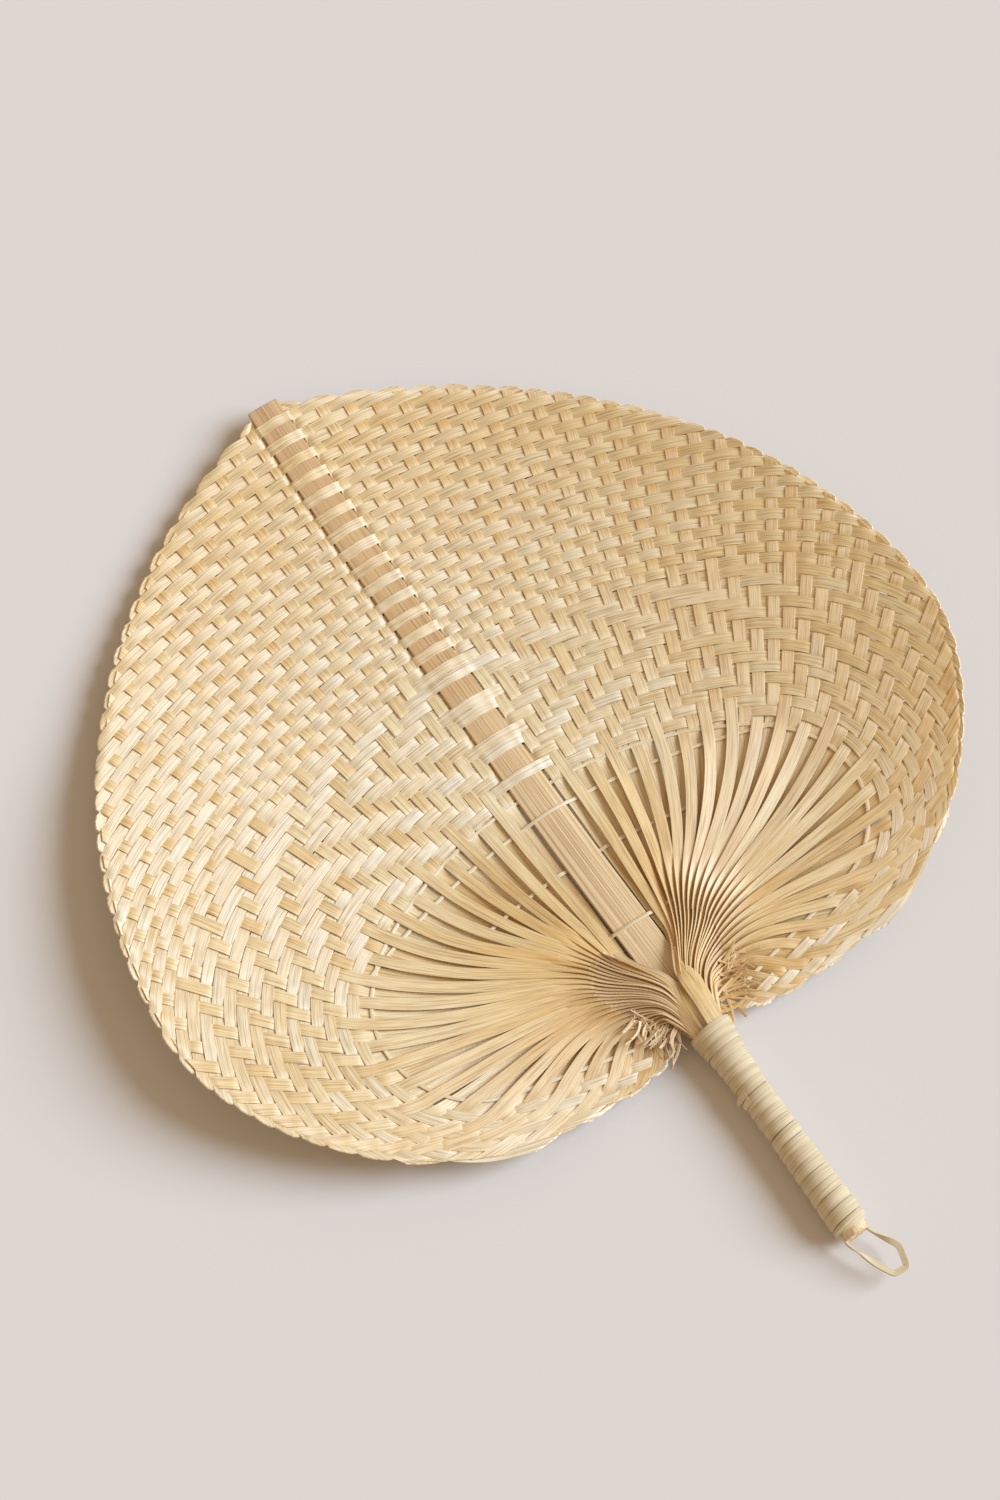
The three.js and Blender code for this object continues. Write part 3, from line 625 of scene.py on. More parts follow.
def add_strip(name, grid, number, thickness, rounding=STRIP_ROUNDING):
    """One strip: a grid laid along its course, then thickened and rounded at its edges."""
    rows, columns = grid.shape[:2]
    bpy.ops.object.select_all(action="DESELECT")
    bpy.ops.mesh.primitive_grid_add(x_subdivisions=columns - 1, y_subdivisions=rows - 1, size=1)
    strip = bpy.context.object
    strip.name = name
    mesh = strip.data
    mesh.name = name
    flat = np.empty(len(mesh.vertices) * 3)
    mesh.vertices.foreach_get("co", flat)
    flat = flat.reshape(-1, 3) + 0.5
    column = np.rint(flat[:, 0] * (columns - 1)).astype(int)
    row = np.rint(flat[:, 1] * (rows - 1)).astype(int)
    mesh.vertices.foreach_set("co", grid[row, column].ravel())
    corner = np.empty(len(mesh.loops), int)
    mesh.loops.foreach_get("vertex_index", corner)
    across = number + UV_MARGIN + (1 - 2 * UV_MARGIN) * column / (columns - 1)
    along = run_lengths(grid[:, columns // 2])[row]
    uv = np.stack([across[corner], along[corner]], 1)
    mesh.uv_layers[0].data.foreach_set("uv", uv.ravel())
    mesh.update()
    wall = strip.modifiers.new("thickness", "SOLIDIFY")
    wall.thickness = thickness
    wall.offset = 0
    edge = strip.modifiers.new("rounding", "BEVEL")
    edge.width = rounding
    edge.segments = 1
    edge.limit_method = "ANGLE"
    edge.angle_limit = SHARP_ANGLE
    for modifier in (wall, edge):
        bpy.ops.object.modifier_apply(modifier=modifier.name)
    return strip


def select_only(pieces):
    """Selects pieces, with the first one active."""
    bpy.ops.object.select_all(action="DESELECT")
    for piece in pieces:
        piece.select_set(True)
    bpy.context.view_layer.objects.active = pieces[0]


def join_strips(strips, name):
    """Strips of one piece, joined under its name."""
    select_only(strips)
    bpy.ops.object.join()
    piece = bpy.context.object
    piece.name = name
    piece.data.name = name
    return piece


def finish_piece(piece, kind, nodes, body="fan"):
    """Gives a piece its finish, its body and the nodes that it stands for."""
    select_only([piece])
    bpy.ops.object.shade_smooth_by_angle(angle=SMOOTH_ANGLE)
    piece.data.materials.clear()
    piece.data.materials.append(bamboo(kind, bpy.context.scene.fan_colours))
    if body:
        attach(piece, body)
    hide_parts(*nodes)


def feed(tree, sockets, values):
    """Gives sockets their values by name: other sockets, numbers or colours."""
    for label, value in values.items():
        if isinstance(value, bpy.types.NodeSocket):
            tree.links.new(value, sockets[label])
        elif isinstance(value, (int, float)):
            sockets[label].default_value = value
        else:
            sockets[label].default_value = (*value, 1)


def add_node(tree, kind, values, **settings):
    """Outputs of a new shader node."""
    node = tree.nodes.new("ShaderNode" + kind)
    for name, setting in settings.items():
        setattr(node, name, setting)
    feed(tree, node.inputs, values)
    return node.outputs


def math_node(tree, operation, *values):
    """Result of a Math node."""
    return add_node(tree, "Math", dict(enumerate(values)), operation=operation)[0]


def spread(tree, value, low, high, to_low, to_high):
    """A value mapped from one band to another."""
    band = {"From Min": low, "From Max": high, "To Min": to_low, "To Max": to_high}
    return add_node(tree, "MapRange", {"Value": value} | band)["Result"]


def mix_colour(tree, factor, a, b, blend="MIX"):
    """Two colours mixed."""
    values = {"Factor": factor, 6: a, 7: b}
    return add_node(tree, "Mix", values, data_type="RGBA", blend_type=blend)[2]


def deepened(tree, colour, share, tint):
    """A colour that takes on a tint by a share."""
    return mix_colour(tree, share, colour, mix_colour(tree, 1.0, colour, tint, "MULTIPLY"))


def grain_group():
    """Node group of a strip's grain, from its UV map: its own shade, fibres and patches."""
    found = bpy.data.node_groups.get("bamboo_grain")
    if found:
        return found
    tree = bpy.data.node_groups.new("bamboo_grain", "ShaderNodeTree")
    new_socket = tree.interface.new_socket
    new_socket("Vector", in_out="INPUT", socket_type="NodeSocketVector")
    for label in ("Fibres", "Stretch"):
        new_socket(label, in_out="INPUT", socket_type="NodeSocketFloat")
    for label in ("Strip", "Fibre", "Fine", "Patch"):
        new_socket(label, in_out="OUTPUT", socket_type="NodeSocketFloat")
    inputs = tree.nodes.new("NodeGroupInput").outputs
    outputs = tree.nodes.new("NodeGroupOutput").inputs
    place = add_node(tree, "SeparateXYZ", {0: inputs["Vector"]})
    number = math_node(tree, "FLOOR", place["X"])
    across = math_node(tree, "FRACT", place["X"])
    chance = add_node(tree, "TexWhiteNoise", {"W": number}, noise_dimensions="1D")
    feed(tree, outputs, {"Strip": chance["Value"]})

    def noise(label, across_scale, along_scale, seed_step, detail):
        scales = {"X": (across, across_scale), "Y": (place["Y"], along_scale), "Z": (number, seed_step)}
        parts = {axis: math_node(tree, "MULTIPLY", *pair) for axis, pair in scales.items()}
        at = add_node(tree, "CombineXYZ", parts)[0]
        values = {"Vector": at, "Scale": 1, "Detail": detail, "Roughness": NOISE_ROUGHNESS}
        feed(tree, outputs, {label: add_node(tree, "TexNoise", values)["Fac"]})

    coarse = (inputs["Fibres"], inputs["Stretch"])
    fine = [math_node(tree, "MULTIPLY", *pair) for pair in zip(coarse, FINE_FIBRES)]
    noise("Fibre", *coarse, *FIBRE_NOISE)
    noise("Fine", *fine, *FINE_NOISE)
    noise("Patch", *PATCHES, *PATCH_NOISE)
    return tree


def painted_light_share(tree):
    """Share of painted shade on a strip: 0 in the middle of the blade, where a painted highlight leaves
    it palest, 1 at its right rim and tip.
    """
    here = add_node(tree, "TexCoord", {})["Object"]
    place = add_node(tree, "SeparateXYZ", {0: here})
    across = math_node(tree, "SUBTRACT", place["X"], PAINTED_LIGHT_CENTRE[0])
    along = math_node(tree, "SUBTRACT", place["Y"], PAINTED_LIGHT_CENTRE[1])
    left = math_node(tree, "DIVIDE", across, PAINTED_LIGHT_LEFT)
    right = math_node(tree, "DIVIDE", across, PAINTED_LIGHT_RIGHT)
    up = math_node(tree, "DIVIDE", along, PAINTED_LIGHT_UP)
    sides = (math_node(tree, "MAXIMUM", left, right), math_node(tree, "MAXIMUM", up, 0))
    squares = [math_node(tree, "POWER", side, 2) for side in sides]
    distance = math_node(tree, "SQRT", math_node(tree, "ADD", *squares))
    return spread(tree, distance, *PAINTED_LIGHT_BAND, 0, 1)


def grain_colour(tree, grain, streak, pale, deep):
    """Colour of a strip from its grain: strips that differ, with patches and dark fibres."""
    strip = math_node(tree, "MULTIPLY", grain["Strip"], STRIP_CONTRAST)
    patch = spread(tree, grain["Patch"], *PATCH_BAND, 0, PATCH_CONTRAST)
    body = mix_colour(tree, math_node(tree, "ADD", strip, patch), pale, deep)
    fibre = spread(tree, grain["Fibre"], *FIBRE_BAND, 1 - streak, 1)
    fine = spread(tree, grain["Fine"], *FINE_BAND, 1 - streak * FINE_STREAK, 1)
    both = math_node(tree, "MULTIPLY", fibre, fine)
    powers = {name: math_node(tree, "POWER", both, power) for name, power in STREAK_POWERS.items()}
    return mix_colour(tree, 1.0, body, add_node(tree, "CombineColor", powers)[0], "MULTIPLY")


def bamboo(kind, colours):
    """Split bamboo of one kind, with its colour, grain and gloss along each strip."""
    found = bpy.data.materials.get(kind + "_bamboo")
    if found:
        return found
    finish = FINISH | FINISHES[kind]
    material = bpy.data.materials.new(kind + "_bamboo")
    material.use_nodes = True
    tree = material.node_tree
    uv = add_node(tree, "UVMap", {})["UV"]
    texture = {"Vector": uv, "Fibres": finish["fibres"], "Stretch": finish["stretch"]}
    grain = add_node(tree, "Group", texture, node_tree=grain_group())
    shades = finish.get("colours", kind)
    pair = [getattr(colours, f"{shades}_{depth}") for depth in ("pale", "deep")]
    colour = grain_colour(tree, grain, finish["streak"], *pair)
    along = add_node(tree, "SeparateXYZ", {0: uv})["Y"]
    # Painted shade: the rib darkens along its woven part, where the wefts over it shade it
    if finish.get("woven"):
        colour = deepened(tree, colour, spread(tree, along, *RIB_SHADE_BAND, 0, 1), RIB_SHADE_TINT)
    # Painted highlight and shade: the strips are palest in the middle of the blade and deepen towards the
    # right rim and tip
    if finish.get("painted_light"):
        share = painted_light_share(tree)
        # Painted shade on the warps near the crease, where the gathers shade them
        if finish.get("crease_shade"):
            share = math_node(tree, "MAXIMUM", share, spread(tree, along, *CREASE_SHADE_BAND, 1, 0))
        colour = deepened(tree, colour, share, colours.painted_shade_tint)
    relief = math_node(tree, "ADD", grain["Fibre"], grain["Fine"])
    bump = {"Strength": finish["bump"], "Distance": BUMP_DEPTH, "Height": relief}
    rough = finish["roughness"]
    sheen = finish["sheen"]
    surface = {
        "Base Color": colour,
        "Roughness": spread(tree, grain["Fibre"], *GLOSS_BAND, rough + ROUGHER, rough - SMOOTHER),
        "Normal": add_node(tree, "Bump", bump)["Normal"],
        "Tangent": add_node(tree, "Tangent", {}, direction_type="UV_MAP")["Tangent"],
        "IOR": PLAIN_IOR + SHEEN_IOR * sheen,
        "Specular IOR Level": PLAIN_SPECULAR + SHEEN_SPECULAR * sheen,
        "Anisotropic": sheen,
    }
    feed(tree, tree.nodes["Principled BSDF"].inputs, surface)
    return material


def weft_half(weft, side, sizes, rng):
    """Plan, direction across, height and half width of a weft from the rib to the rim."""
    distance = WEFT_PITCH * (weft + 0.5)
    end_place = reach_rim(lambda place: edge_point(place, distance * weft_spread(place)), WEFT_END)
    end = float(weft_length(end_place, distance))
    length = np.linspace(0, end, max(WEFT_LEAST_ROWS, int(end / WEFT_STEP)))
    place = weft_place(length, distance)
    close = weft_spread(place)
    crossed = np.asarray(weft_length(CROSS_PLACE[:, weft], distance))
    apart = np.append(True, np.diff(crossed) > LEAST_APART)
    warps = np.flatnonzero(apart & (crossed < end + PAST_RIM))
    rib_half = float(rib_half_width(OPEN_TOP_Y + distance))
    above = RIB_FOOT + RIB_THICKNESS + sizes.strip * RIB_GAP
    below = RIB_FOOT - sizes.strip * RIB_GAP
    at_rib = above if over_rib(weft) else below
    relief = np.where(weft_over(warps, weft), sizes.relief, -sizes.relief)
    relief = relief * (1 + rng.normal(0, WEFT_RELIEF_SPREAD, len(warps)))
    arch = at_rib + RIB_ARCH
    knots = np.concatenate([[0, rib_half - RIB_EDGE], crossed[warps]])
    levels = np.concatenate([[arch, at_rib], relief])
    height = woven_height(length, knots, levels)
    plan = edge_point(place, distance * close + wander(rng, length, *WEFT_DRIFT))
    across = heading(edge_direction(place))
    width = sizes.weft / 2 * close * (1 + wander(rng, length, *WEFT_WIDTHS))
    mirror = np.array([side, 1])
    return plan * mirror, across * mirror, height, width


def slant_end(grid, plan, across, width, crease, bulge):
    """Slants a strip's last rows so that its end lies along a crease, a little rounded."""
    outward = unit(plan[-1] - plan[-2])
    slant = np.clip((crease @ outward) / (crease @ across[-1]), -MOST_SLANT, MOST_SLANT)
    shift = COLUMNS * width[-1] * slant + bulge * (0.5 - COLUMNS**2)
    count = min(len(grid) - 1, SLANT_ROWS + int(np.abs(shift).max() / SLANT_STEP))
    ease = np.linspace(1, 0, count, endpoint=False)[:, None, None]
    slanted = grid[: -count - 1 : -1]
    before = blade_height(slanted[..., 0], slanted[..., 1])
    slanted[..., :2] += outward * shift[:, None] * ease
    slanted[..., 2] += blade_height(slanted[..., 0], slanted[..., 1]) - before


def rim_fold(grid, plan, across, height, width, run, sizes):
    """A strip's surface that ends at the rim, slanted there and folded back under the weave."""
    side = np.array([np.sign(plan[-1][0]), 1])
    outward = unit(plan[-1] - plan[-2])
    rim = rim_direction(plan[-1] * side) * side
    rim *= np.sign(rim @ outward) or 1
    crease = unit(rim * (1 - RIM_STEP) + unit(outward - run) * RIM_STEP)
    slant_end(grid, plan, across, width, crease, RIM_BULGE)
    out = np.array([crease[1], -crease[0]])
    out *= np.sign(out @ outward)
    fold = sizes.strip * RIM_FOLD
    edge = grid[-1, :, :2]
    turns = np.linspace(0, math.pi, RIM_FOLD_STEPS + 1)[1:]
    rows = [(edge + out * fold * math.sin(t), height[-1] - fold * (1 - math.cos(t))) for t in turns]
    rows += [(edge - run * reach, height[-1] - 2 * fold - RIM_TUCK_GAP) for reach in RIM_TUCK]
    lip = [np.column_stack([xy, blade_height(xy[:, 0], xy[:, 1]) + level]) for xy, level in rows]
    return np.concatenate([grid, lip])


class FAN_OT_wefts(bpy.types.Operator):
    """Weave the strips that run from rim to rim across the rib"""

    bl_idname = "fan.wefts"
    bl_label = "Wefts"

    SEED = 11

    def execute(self, context):
        sizes = context.scene.fan_sizes
        rng = np.random.default_rng(self.SEED)
        reach = [WEAVE_STEP * warp["rows"] for warp in WARP_PLANS]
        for weft in range(WEFTS):
            name = f"weft_{weft + 1:02d}"
            near = WARP_PLANS[np.argmin(np.abs(CROSS_LENGTH[:, weft] - reach))]
            halves = []
            for side in (-1, 1):
                course = weft_half(weft, side, sizes, rng)
                plan, across, height, width = course
                grid = strip_grid(*course, np.zeros(len(plan)), sizes.crown)
                last = near["woven"][near["rows"] - 2 : near["rows"]]
                run = (last[1] - last[0]) / WEAVE_STEP * [side, 1]
                halves.append(rim_fold(grid, plan, across, height, width, run, sizes))
            grid = np.concatenate([halves[0][:0:-1], halves[1]])
            strip = add_strip("strip_" + name, to_part(grid), weft, sizes.strip)
            finish_piece(strip, "weft", [name])
        return {"FINISHED"}


def layer_side(index):
    """1 for a warp of the upper layer, -1 for one of the lower."""
    return 1 if index % 2 == 1 else -1


def edge_turn(plan, side):
    """How far a warp stands on edge at its crease."""
    return (EDGE_RIGHT if side > 0 else EDGE_LEFT) * plan["on_edge"]


def warp_course(index, side, sizes, rng):
    """Plan, direction across, height, half width and twist of a warp from the crease to the rim."""
    plan = WARP_PLANS[index]
    crease = plan["crease"]
    edge = plan["edge"]
    reach = np.linalg.norm(edge - crease)
    open_steps = max(OPEN_LEAST_ROWS, int(reach / OPEN_STEP))
    share = np.linspace(0, 1, open_steps)
    leave = crease + plan["leave"] * min(CREASE_PULL_MOST, reach * CREASE_PULL)
    into = edge - plan["meet"] * EDGE_PULL * reach
    open_part = bezier(crease, leave, into, edge, share)
    woven_part = plan["woven"][: max(WOVEN_LEAST_ROWS, plan["rows"] - 1)]
    course = np.vstack([open_part, woven_part])
    along = run_lengths(course)
    open_length = along[open_steps - 1]
    layer = sizes.layer * layer_side(index)
    rows = np.flatnonzero(CROSS_LENGTH[index] < WEAVE_STEP * (plan["rows"] + 2))
    relief = np.where(weft_over(index, rows), -sizes.relief, sizes.relief)
    lift = layer * (1 + rng.normal(0, LAYER_SPREAD))
    relief = relief * (1 + rng.normal(0, WARP_RELIEF_SPREAD, len(rows)))
    spots = [0, open_length / 2, open_length - RUN_IN]
    knots = np.concatenate([spots, open_length + CROSS_LENGTH[index][rows]])
    levels = np.concatenate([[layer * CREASE_LAYER, lift, layer * CREASE_LAYER], relief])
    height = woven_height(along, knots, levels)
    drift = wander(rng, along, *WARP_DRIFT) * smooth(along / DRIFT_FROM)
    across = across_plan(course)
    course = course + across * drift[:, None]
    flat_at = (TWIST_RIGHT if side > 0 else TWIST_LEFT) * (1 + rng.normal(0, TWIST_SPREAD))
    twist = edge_turn(plan, side) * (1 - smooth(along / flat_at))
    tilt = np.radians(rng.normal(*WARP_TILT)) * smooth(along / TILT_FROM)
    twist = twist + tilt * smooth((open_length - along) / TILT_TO)
    taper = PLEAT_SHARE + (1 - PLEAT_SHARE) * smooth(along / PLEAT_TAPER)
    half_width = sizes.warp / 2 * taper * (1 + wander(rng, along, *WARP_WIDTHS))
    return course, across, height, half_width, twist


class FAN_OT_warps(bpy.types.Operator):
    """Lay the strips that fan out of the throat and run through the weave to the rim"""

    bl_idname = "fan.warps"
    bl_label = "Warps"

    SEED = 23

    def execute(self, context):
        sizes = context.scene.fan_sizes
        rng = np.random.default_rng(self.SEED)
        for side, label in ((-1, "left"), (1, "right")):
            for sheaf in range(SHEAVES):
                strips = []
                for index in range(sheaf * WARPS_IN_SHEAF, (sheaf + 1) * WARPS_IN_SHEAF):
                    course = warp_course(index, side, sizes, rng)
                    plan, across, _, width, _ = course
                    grid = strip_grid(*course, sizes.crown)
                    slant_end(grid, plan, across, width, rim_direction(plan[-1]), 0)
                    grid = to_part(grid, side)
                    strips.append(add_strip(f"warp_{index}", grid, warp_number(index, side), sizes.strip))
                name = f"warp_sheaf_{label}_{sheaf + 1}"
                piece = join_strips(strips, f"warps_{label}_{sheaf + 1}")
                finish_piece(piece, "warp", [name])
        return {"FINISHED"}


class FAN_OT_rib(bpy.types.Operator):
    """Plane the rib, from the square-cut tip into the handle"""

    bl_idname = "fan.rib"
    bl_label = "Central rib"

    DOWN = 0.96  # share of the handle's length that the rib runs down into it
    STEPS = 240
    ROUNDING = 0.00035

    def execute(self, context):
        y = np.linspace(-self.DOWN * GRIP_LENGTH, RIB_TIP_Y, self.STEPS)
        plan = np.column_stack([np.zeros_like(y), y])
        across = np.tile([1.0, 0.0], (len(y), 1))
        height = np.full(len(y), RIB_FOOT + RIB_THICKNESS / 2)
        grid = strip_grid(plan, across, height, rib_half_width(y), np.zeros(len(y)), RIB_ARCH)
        rib = add_strip("rib", to_part(grid), RIB_NUMBER, RIB_THICKNESS, self.ROUNDING)
        finish_piece(rib, "rib", ["central_rib"])
        return {"FINISHED"}


class FAN_OT_splints(bpy.types.Operator):
    """Thread the thin splints that hold the two layers of warps apart"""

    bl_idname = "fan.splints"
    bl_label = "Spacer splints"

    STEPS = 60
    EDGE_STEPS = 150  # in half of the splint along the weave's edge
    ARC = 0.205  # radius of the longer splints in plan
    LONG = 0.03
    # Name, y at the rib, reach each side, and whether it passes over the rib
    SPLINTS = (
        ("splint_upper", 0.0955, 0.086, True),
        ("splint_middle", 0.0745, 0.042, False),
        ("splint_lower", 0.045, 0.017, True),
    )
    RIB_INSET = 0.0012  # of the splint along the weave's edge, at the rib and beyond
    EDGE_INSET = 0.0042
    RIB_EASE = 0.0026  # a splint rises to the rib over this length
    RIB_CLEARANCE = 0.0003
    CROWN = 0.0001
    THICKNESS = 0.0005

    def execute(self, context):
        width = context.scene.fan_sizes.splint
        number = SPLINT_NUMBER
        for name, y, reach, over in self.SPLINTS:
            x = np.linspace(-reach, reach, self.STEPS)
            sag = x**2 / (2 * self.ARC) * (reach > self.LONG)
            self.lay(name, np.column_stack([x, y - sag]), over, number, width)
            number += 1
        place = np.linspace(0, WEFT_END, self.EDGE_STEPS)
        beyond = smooth((place - WIDE_END / 2) / WIDE_END)
        inset = self.RIB_INSET + (self.EDGE_INSET - self.RIB_INSET) * beyond
        half = edge_point(place, -inset)
        plan = np.vstack([(half * [-1, 1])[:0:-1], half])
        self.lay("splint_edge", plan, False, number, width)
        return {"FINISHED"}

    def lay(self, name, plan, over, number, width):
        """One splint along its plan, over or under the rib."""
        rib = rib_half_width(plan[:, 1])
        near = smooth((rib + self.RIB_EASE - np.abs(plan[:, 0])) / self.RIB_EASE)
        arch = RIB_ARCH * (1 - (plan[:, 0] / rib) ** 2).clip(0)
        top = RIB_FOOT + RIB_THICKNESS + arch + self.RIB_CLEARANCE
        height = near * (top if over else RIB_FOOT - self.RIB_CLEARANCE)
        level = np.zeros(len(plan))
        grid = strip_grid(plan, across_plan(plan), height, level + width / 2, level, self.CROWN)
        splint = add_strip("strip_" + name, to_part(grid), number, self.THICKNESS)
        finish_piece(splint, "weft", [name])


class FAN_OT_gathers(bpy.types.Operator):
    """Pleat the roots of the warps into the handle"""

    bl_idname = "fan.gathers"
    bl_label = "Gathers"

    SEED = 31
    OVERLAP = 0.002  # how far a pleat runs on into its warp
    PLEAT_STEPS = 16
    PLEAT_THICKNESS = 0.88  # of a strip's
    PLEAT_WIDTH = 0.97  # of a warp's at the crease
    PLEAT_TURN = 4  # spread of the pleats' turn, in degrees
    # Neck, where the pleats lie closest: pull towards it, run past it, rise, and fall to the last pleat
    NECK_PULL = 0.35
    NECK_RUN = 0.005
    NECK_RISE = 0.0034
    NECK_FALL = 0.0014
    NECK_LAYERS = 1.9  # the layers lie further apart there
    NECK_SPREAD = 0.00025
    NECK_RISE_SPREAD = 0.0003
    # Roots tucked into the handle: first place, way to the last, run, rise, and the round they lie on
    TUCK_X = 0.0008
    TUCK_WAY = 0.0042
    TUCK_RUN = 0.006
    TUCK_RISE = 0.0008
    TUCK_RADIUS = 0.0052
    TUCK_UPPER, TUCK_LOWER = 0.7, 0.1  # shares of its height for the two layers
    # Loose ends: where they start, and the bounds, or the middle and spread, of their differences
    LOOSE_ENDS = 44
    LOOSE_FROM = ((0.0185, 0.0175), (0.0085, 0.0040))
    LOOSE_SPREAD = 0.0016
    LOOSE_STEPS = 9
    LOOSE_LENGTH = (0.005, 0.013)
    LOOSE_HEADING = (115, 32)
    LOOSE_CURL = (0, 25)
    LOOSE_RISE = (0.0002, 0.0024)
    LOOSE_LIFT = (-0.1, 0.32)
    LOOSE_WIDTH = (0.0003, 0.0009)
    LOOSE_TAPER = 0.45
    LOOSE_TWIST = (0, 40)
    LOOSE_UNTWIST = (-0.4, 0.8)
    LOOSE_CROWN = 0.0001
    LOOSE_THICKNESS = 0.8  # of a strip's
    # Bundle inside the handle
    CORE_SIDES = 32
    CORE_RADIUS = 0.0046
    CORE_SHORT = 0.0016
    CORE_GAP = 0.0001

    def execute(self, context):
        sizes = context.scene.fan_sizes
        rng = np.random.default_rng(self.SEED)
        for side, label, kind in ((-1, "left", "pleat"), (1, "right", "warp")):
            strips = []
            for index in range(WARPS):
                grid = to_part(self.pleat(index, side, sizes, rng), side)
                thickness = sizes.strip * self.PLEAT_THICKNESS
                strips.append(add_strip(f"pleat_{index}", grid, warp_number(index, side), thickness))
            for end in range(self.LOOSE_ENDS):
                grid = to_part(self.loose_end(rng), side)
                thickness = sizes.strip * self.LOOSE_THICKNESS
                strips.append(add_strip(f"loose_{end}", grid, LOOSE_NUMBER + end, thickness))
            strips.append(self.core(side))
            piece = join_strips(strips, f"pleats_{label}")
            finish_piece(piece, kind, [f"gather_{label}"])
        return {"FINISHED"}

    def pleat(self, index, side, sizes, rng):
        """The root of one warp on edge, from the crease down into the handle."""
        plan = WARP_PLANS[index]
        share = plan["share"]
        crease = plan["crease"]
        neck = np.array(NECK_FIRST) * (1 - share) + np.array(NECK_LAST) * share
        tuck = np.array([self.TUCK_X + self.TUCK_WAY * share, TUCK_Y])
        steps = np.linspace(0, 1, self.PLEAT_STEPS)
        lean = heading(NECK_LEAN)
        pull = self.NECK_PULL * np.linalg.norm(crease - neck)
        neck = neck + rng.normal(0, self.NECK_SPREAD, 2)
        upper = bezier(crease, crease - plan["leave"] * pull, neck + lean * pull, neck, steps)
        lower = bezier(neck, neck - lean * self.NECK_RUN, tuck + [0, self.TUCK_RUN], tuck, steps)
        course = np.vstack([crease + plan["leave"] * self.OVERLAP, upper, lower[1:]])
        level = sizes.layer * CREASE_LAYER * layer_side(index)
        at_neck = self.NECK_RISE - self.NECK_FALL * share + level * self.NECK_LAYERS
        at_neck += rng.normal(0, self.NECK_RISE_SPREAD)
        out = self.TUCK_UPPER if layer_side(index) > 0 else self.TUCK_LOWER
        at_tuck = self.TUCK_RISE + math.sqrt(self.TUCK_RADIUS**2 - tuck[0] ** 2) * out
        down = np.concatenate([[0], smooth(steps), 1 + smooth(steps[1:])])
        height = np.interp(down, [0, 1, 2], [level, at_neck, at_tuck])
        turn = math.radians(rng.normal(0, self.PLEAT_TURN))
        twist = np.full(len(course), -edge_turn(plan, side)) + turn
        width = np.full(len(course), sizes.warp / 2 * PLEAT_SHARE * self.PLEAT_WIDTH)
        return strip_grid(course, across_plan(course), height, width, twist, 0)

    def loose_end(self, rng):
        """A short frayed end that stands out of the lower pleats."""
        start, stop = np.array(self.LOOSE_FROM)
        first = start + (stop - start) * rng.uniform() + rng.normal(0, self.LOOSE_SPREAD, 2)
        steps = np.linspace(0, 1, self.LOOSE_STEPS)
        length = rng.uniform(*self.LOOSE_LENGTH)
        turn = math.radians(rng.normal(*self.LOOSE_HEADING))
        turn = turn + math.radians(rng.normal(*self.LOOSE_CURL)) * steps
        course = first + np.cumsum(heading(turn) * length / len(steps), axis=0)
        height = rng.uniform(*self.LOOSE_RISE) + rng.uniform(*self.LOOSE_LIFT) * length * steps**2
        width = rng.uniform(*self.LOOSE_WIDTH) * (1 - self.LOOSE_TAPER * steps)
        twist = math.radians(rng.normal(*self.LOOSE_TWIST))
        twist = twist * (1 - steps * rng.uniform(*self.LOOSE_UNTWIST))
        return strip_grid(course, across_plan(course), height, width, twist, self.LOOSE_CROWN)

    def core(self, side):
        """Half of the bundle inside the handle."""
        bpy.ops.mesh.primitive_cylinder_add(
            vertices=self.CORE_SIDES,
            radius=self.CORE_RADIUS,
            depth=GRIP_LENGTH - self.CORE_SHORT,
            location=(0, THROAT_Y - GRIP_LENGTH / 2, GRIP_AXIS_Z),
            rotation=(math.pi / 2, 0, 0),
        )
        core = bpy.context.object
        bpy.ops.object.transform_apply(location=True, rotation=True, scale=True)
        bpy.ops.object.mode_set(mode="EDIT")
        bpy.ops.mesh.select_all(action="SELECT")
        cut = (side * self.CORE_GAP, 0, 0)
        bpy.ops.mesh.bisect(plane_co=cut, plane_no=(side, 0, 0), use_fill=True, clear_inner=True)
        bpy.ops.object.mode_set(mode="OBJECT")
        return core


